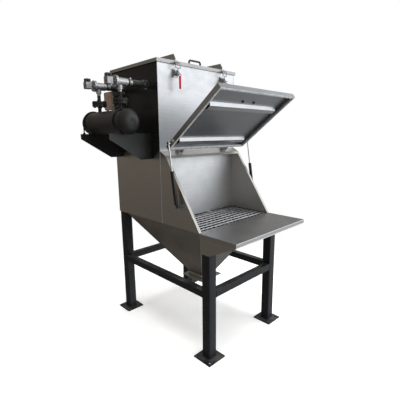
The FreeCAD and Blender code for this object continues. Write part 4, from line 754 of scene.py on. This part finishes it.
# ------------------------------------------------------------------ lid clamps
# Two hook clamps on the housing's front: zinc plated base and lever, round bar hook,
# and a dipped red grip on the lever's tail.
dress(fixing_zinc, "clamp_bases", "clamp_lever_left", "clamp_lever_right", bevel=0.0006)
dress(fixing_zinc, "clamp_hook_left", "clamp_hook_right")
grip_red = moulded("grip_red", (0.42, 0.010, 0.030), 0.32, grain=260.0, depth=0.0002, dust=0.1, sheen=0.4)
dress(grip_red, "clamp_grip_left", "clamp_grip_right")
housing_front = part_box("upper_front_panel")[0].y
lever_y, lever_z = joints["clamp_lever_left"]["pos_m"][1:]
clamp_fixings = bmesh.new()
for side in (-1, 1):
    for off_x in (-0.023, 0.023):
        for at_z in (clamp_low.z + 0.010, clamp_high.z - 0.010):
            hex_bolt(clamp_fixings, (side * clamp_x + off_x, housing_front - 0.004, at_z),
                     (0, -1, 0), 0.008, washer=False)
    for end in (-1, 1):
        turned(clamp_fixings, (side * clamp_x + end * 0.018, lever_y, lever_z), (end, 0, 0),
               [(0, 0), (0.0058, 0), (0.0058, 0.0012), (0.004, 0.0026), (0, 0.003)], 20)
new_piece("clamp_screws", clamp_fixings, fixing_zinc, "station")

# ------------------------------------------------------------------ door
# Folded pan with two hat channels spot-welded across it and a sponge seal around its
# rim, hung on two cranked hinges bolted to the sloping ledge.
door_stainless = sheet_stainless("door_stainless", (0.44, 0.45, 0.465), 0.36, wave=0.12, dust=0.06,
                                 cling=0.08)
# The hat channels are the door's stainless in a paler copy: a painted highlight on their raised webs.
stiffener_highlit = sheet_stainless("stiffener_highlit", (0.62, 0.63, 0.645), 0.30, wave=0.06, dust=0.1)
# The seal's grey is made pale to offset the shade it sits in: painted light.
door_seal_grey = moulded("door_seal_grey", (0.50, 0.505, 0.51), 0.5, grain=900.0, depth=0.0003)
dress(door_stainless, "door_panel", bevel=0.0015)
dress(stiffener_highlit, "door_stiffeners", bevel=0.0012)
dress(door_seal_grey, "door_gasket", bevel=0.003)
dress(handle_black, "door_handle")
dress(fixing_zinc, "door_hinge_brackets", "door_hinge_leaves", bevel=0.0006)
hinge_y, hinge_z = joints["door_swing"]["pos_m"][1:]
pan = nodes["door_panel"].data
pan_side = max((face for face in pan.polygons if abs(face.normal.x) < 0.1), key=lambda face: face.area)
inward = Vector(pan_side.normal).normalized()
if inward.z > 0:
    inward = -inward
along = Vector((1, 0, 0)).cross(inward).normalized()
if along.y > 0:
    along = -along
runs = [vert.co.dot(along) for vert in pan.vertices]
depths = [vert.co.dot(inward) for vert in pan.vertices]
pan_start, pan_floor = min(runs), min(depths)


def at_door(x, run, depth):
    """Point on the open door: across, down its length from the hinge edge, and inward."""
    return Vector((x, 0, 0)) + along * (pan_start + run) + inward * (pan_floor + depth)


spot_welds = bmesh.new()
door_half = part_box("door_panel")[1].x
stiffener_runs = (0.077, 0.477)
stiffener_foot = 0.041
spot_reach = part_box("door_stiffeners")[1].x - 0.03
spots = 14
for middle in stiffener_runs:
    for edge in (-stiffener_foot, stiffener_foot):
        for k in range(spots):
            x = spot_reach * (2 * k / (spots - 1) - 1)
            turned(spot_welds, at_door(x, middle + edge, 0.005), inward,
                   [(0.0036, -0.0002), (0.0036, 0.0002), (0.0028, 0.0004), (0.0022, 0.0001), (0, 0.0)], 16)
new_piece("door_spot_welds", spot_welds, door_stainless, "door", smooth=60)
hinge_leaf_half = 0.030
hinge_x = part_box("door_hinge_leaves")[1].x - hinge_leaf_half
door_fixings = bmesh.new()
bracket_fixings = bmesh.new()
for side in (-1, 1):
    for off_x in (-0.022, 0.022):
        for depth in (0.011, 0.025):
            hex_bolt(door_fixings, at_door(side * hinge_x + off_x, -0.003, depth), -along, 0.009,
                     washer=False)
    for end in (-1, 1):
        turned(bracket_fixings, (side * hinge_x + end * 0.0214, hinge_y, hinge_z), (end, 0, 0),
               [(0, 0), (0.0075, 0), (0.0075, 0.002), (0.005, 0.0042), (0, 0.005)], 20)
new_piece("door_hinge_bolts", door_fixings, fixing_zinc, "door")
rod_bright = machined("rod_bright", (0.80, 0.80, 0.81), 0.20, dirt=0.1)
strut_lugs = bmesh.new()
lug_run, lug_depth, lug_half, lug_out = 0.0925, 0.0185, 0.0135, 0.0042
for side in (-1, 1):
    loft(strut_lugs, [[at_door(side * (door_half + out), lug_run + a * (lug_half - inset),
                               lug_depth + b * (lug_half - 0.001 - inset)) for a, b in SQUARE]
                      for out, inset in ((0.0004, 0.0), (0.0032, 0.0), (lug_out, 0.0012))])
    turned(strut_lugs, at_door(side * (door_half + lug_out), lug_run, lug_depth), (side, 0, 0),
           [(0, 0), (0.0105, 0), (0.0105, 0.0016), (0.0092, 0.0020), (0.0088, 0.0034), (0.0072, 0.0056),
            (0.0048, 0.0070), (0.0022, 0.0076), (0, 0.0078)], 28)
new_piece("strut_lugs", strut_lugs, rod_bright, "door", smooth=30)
new_piece("door_hinge_pins", bracket_fixings, fixing_zinc, "station")

# ------------------------------------------------------------------ gas struts
# One gas spring each side: black cylinder at the foot, bright rod at the door,
# both on studs with a plate bolted to the sheet.
strut_black = sprayed_paint("strut_black", (0.006, 0.006, 0.006), (0.30, 0.30, 0.30), 0.26, wear=0.3,
                            dust=0.15, shine=0.4, peel=0.15, coat=0.2)
dress(strut_black, "strut_cylinder_left", "strut_cylinder_right", bevel=0.0006)
dress(rod_bright, "strut_rod_left", "strut_rod_right")
dress(fixing_zinc, "strut_anchors", "door_studs", bevel=0.0006)
anchor_low, anchor_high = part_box("strut_anchors")
body_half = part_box("hood_wing_right")[1].x
foot_y, foot_z = joints["strut_swing_left"]["pos_m"][1:]
strut_fixings = bmesh.new()
for side in (-1, 1):
    for off_y in (0.014, 0.040):
        for off_z in (-0.013, 0.013):
            hex_bolt(strut_fixings, (side * (body_half + 0.004), anchor_low.y + off_y, foot_z + off_z),
                     (side, 0, 0), 0.013)
    turned(strut_fixings, (side * anchor_high.x, foot_y, foot_z), (side, 0, 0),
           [(0, -0.001), (0.0075, -0.001), (0.0075, 0.0004), (0.006, 0.0014), (0, 0.002)], 20)
new_piece("strut_anchor_bolts", strut_fixings, fixing_zinc, "station")

# ------------------------------------------------------------------ air tank
# Black compressed air tank with dished ends, strapped by two U bolts to gussets that
# are welded to the housing's valve side.
tank_black = sprayed_paint("tank_black", (0.006, 0.006, 0.0062), (0.30, 0.29, 0.28), 0.40, wear=0.4,
                           dust=0.12, shine=0.6, peel=0.5)
brass = machined("brass", (0.60, 0.42, 0.18), 0.30)
dress(tank_black, "air_tank", "tank_u_bolts")
dress(tank_black, "tank_gussets", bevel=0.001)
dress(brass, "drain_cock", bevel=0.0006)
tank_low, tank_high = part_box("air_tank")
bolt_low, bolt_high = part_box("tank_u_bolts")
tank_r = (tank_high.x - tank_low.x) / 2
tank_x = (tank_high.x + tank_low.x) / 2
tank_z = (tank_high.z + tank_low.z) / 2
tank_seams = bmesh.new()
seam_r = tank_r + 0.0004
for seam_y in (-0.034, 0.531):
    ring = [(tank_x + seam_r * math.cos(math.radians(10 * k)), seam_y,
             tank_z + seam_r * math.sin(math.radians(10 * k))) for k in range(36)]
    weld_bead(tank_seams, ring, 0.0026, pitch=0.006, closed=True)
riser_r = 0.0148
for row in pulse_rows:
    ring = []
    for k in range(24):
        off_x, off_y = riser_r * math.cos(math.radians(15 * k)), riser_r * math.sin(math.radians(15 * k))
        ring.append((tank_x + off_x, row + off_y, tank_z + math.sqrt(tank_r ** 2 - off_x ** 2)))
    weld_bead(tank_seams, ring, 0.003, closed=True)
new_piece("tank_welds", tank_seams, tank_black, "station", smooth=60)

nuts = bmesh.new()
u_half = (bolt_high.x - bolt_low.x) / 2 - 0.009
tab_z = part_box("tank_gussets")[1].z
washer = 0.0016
for gusset_y in (0.037, 0.503):
    for side in (-1, 1):
        turned(nuts, (tank_x + side * u_half, gusset_y, tab_z), (0, 0, 1),
               [(0, 0), (0.0115, 0), (0.0115, washer), (0, washer)], 24)
        for base_z, way in ((tab_z + washer, 1), (tab_z - 0.006, -1)):
            nut = [(0, 0), (0.0098, 0), (0.0098, 0.0070), (0.0088, 0.0085), (0, 0.0085)]
            turned(nuts, (tank_x + side * u_half, gusset_y, base_z), (0, 0, way), nut, 6, random.uniform(0, 1))
new_piece("u_bolt_nuts", nuts, tank_black, "station", smooth=30)

# ------------------------------------------------------------------ pulse valves
# Two cast right-angle diaphragm valves above the tank on bolted unions, each with a
# solenoid coil on its cover and a short rubber hose to the wall stub.
valve_cast, tree, shader = new_finish("valve_cast")
place = object_place(tree)
sand = noise(tree, place, 700.0, 3.0, 0.6)
flow = noise(tree, place, 60.0, 4.0, 0.6)
cast_edges = placed_group(tree, RUBBED_EDGES, Radius=0.0015, Amount=0.95)["Mask"]
cast_powder = placed_group(tree, SETTLED_DUST, Amount=0.3, Cling=0.08)["Mask"]
iron_top = 2.055
height = add(tree, "SeparateXYZ", i0=place).outputs["Z"]
iron = calc(tree, "SUBTRACT", 1.0, remap(tree, height, iron_top - 0.001, iron_top + 0.001))
cast_shade = blend_colour(tree, remap(tree, flow, 0.3, 0.7), (0.50, 0.50, 0.51), (0.68, 0.68, 0.69))
cast_shade = laid_over(tree, cast_shade, cast_edges, 0.6, (0.85, 0.85, 0.86))
cast_shade = laid_over(tree, cast_shade, cast_powder, 0.5, (0.40, 0.38, 0.36))
feed(tree, shader, Base_Color=blend_colour(tree, iron, cast_shade, (0.016, 0.016, 0.017)),
     Roughness=calc(tree, "MULTIPLY_ADD", iron, 0.16, calc(tree, "MULTIPLY_ADD", sand, 0.2, 0.30)),
     Metallic=calc(tree, "MULTIPLY_ADD", iron, -0.8, 0.95),
     Normal=bumped(tree, calc(tree, "MULTIPLY_ADD", flow, 1.2, sand), 0.55, 0.0005))
coil_black = moulded("coil_black", (0.018, 0.018, 0.020), 0.42, grain=450.0)
hose_black = moulded("hose_black", (0.012, 0.012, 0.012), 0.55, grain=380.0, depth=0.0005)
coil_silver = machined("coil_silver", (0.42, 0.43, 0.44), 0.36)
dress(tank_black, "pulse_risers", bevel=0.0008)
dress(valve_cast, "pulse_valves", "valve_covers", bevel=0.0012)
dress(coil_silver, "valve_solenoids")
dress(hose_black, "pulse_hoses", bevel=0.0015)
dress(tank_black, "union_bolts", bevel=0.0005)
dress(fixing_zinc, "hose_clamps", bevel=0.0005)
coil_low, coil_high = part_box("valve_solenoids")
coil_x = coil_low.x + 0.029
plugs = bmesh.new()
for row in pulse_rows:
    for half_x, half_y, low_z, high_z in ((0.022, 0.020, -0.001, 0.005), (0.0200, 0.0180, 0.005, 0.026)):
        loft(plugs, [[(coil_x + a * (half_x - inset), row + b * (half_y - inset), coil_high.z + at_z)
                      for a, b in SQUARE]
                     for inset, at_z in ((0.0, low_z), (0.0, high_z - 0.003), (0.003, high_z))], "topped")
    turned(plugs, (coil_x, row - 0.0175, coil_high.z + 0.014), (0, -1, 0),
           [(0, 0), (0.0075, 0), (0.0075, 0.010), (0.0062, 0.012), (0.0062, 0.016), (0, 0.017)], 18)
new_piece("coil_plugs", plugs, coil_black, "station", smooth=30)

# ------------------------------------------------------------------ pulse controller
# Flat stainless timer box on spacers beside the valves, with four cover screws, a few
# red signal lamps and cable glands below.
controller_steel = sheet_stainless("controller_steel", (0.56, 0.50, 0.43), 0.42, wave=0.1)
dress(controller_steel, "pulse_controller", bevel=0.001)
lamp_red = moulded("lamp_red", (0.55, 0.012, 0.012), 0.25, grain=300.0, dust=0.1)
control_low, control_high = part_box("pulse_controller")
case_bottom = control_high.z - 0.155
screw_inset = 0.013
control_screws = bmesh.new()
lamps = bmesh.new()
for at_y in (control_low.y + screw_inset, control_high.y - screw_inset):
    for at_z in (case_bottom + screw_inset, control_high.z - screw_inset):
        turned(control_screws, (control_low.x, at_y, at_z), (-1, 0, 0),
               [(0, 0), (0.0042, 0), (0.0042, 0.0012), (0.0028, 0.0022), (0.0012, 0.0014), (0, 0.0014)], 18)
for k in range(3):
    for at_z in (control_high.z - 0.030 - 0.012 * k, case_bottom + 0.028):
        turned(lamps, (control_low.x, control_low.y + 0.024 + 0.013 * k, at_z), (-1, 0, 0),
               [(0, 0), (0.0045, 0), (0.0045, 0.0015), (0.0034, 0.0034), (0.0018, 0.0042), (0, 0.0044)], 18)
new_piece("controller_screws", control_screws, fixing_zinc, "station")
new_piece("controller_lamps", lamps, lamp_red, "station")

# ------------------------------------------------------------------ lid hinges
# Zinc plated wall frames bolted behind the housing, with a pin each and a leaf
# screwed to the lid's rear rim.
dress(fixing_zinc, "lid_hinge_frames", "lid_hinge_leaves", bevel=0.0006)
rear_low, rear_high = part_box("lid_hinge_frames")
lid_hinge_x = rear_high.x - 0.030
rear_fixings = bmesh.new()
for side in (-1, 1):
    for off_x in (-0.018, 0.018):
        for at_z in (rear_low.z + 0.012, rear_low.z + 0.030):
            hex_bolt(rear_fixings, (side * lid_hinge_x + off_x, rear_low.y + 0.004, at_z), (0, 1, 0), 0.009)
new_piece("lid_hinge_bolts", rear_fixings, fixing_zinc, "station")
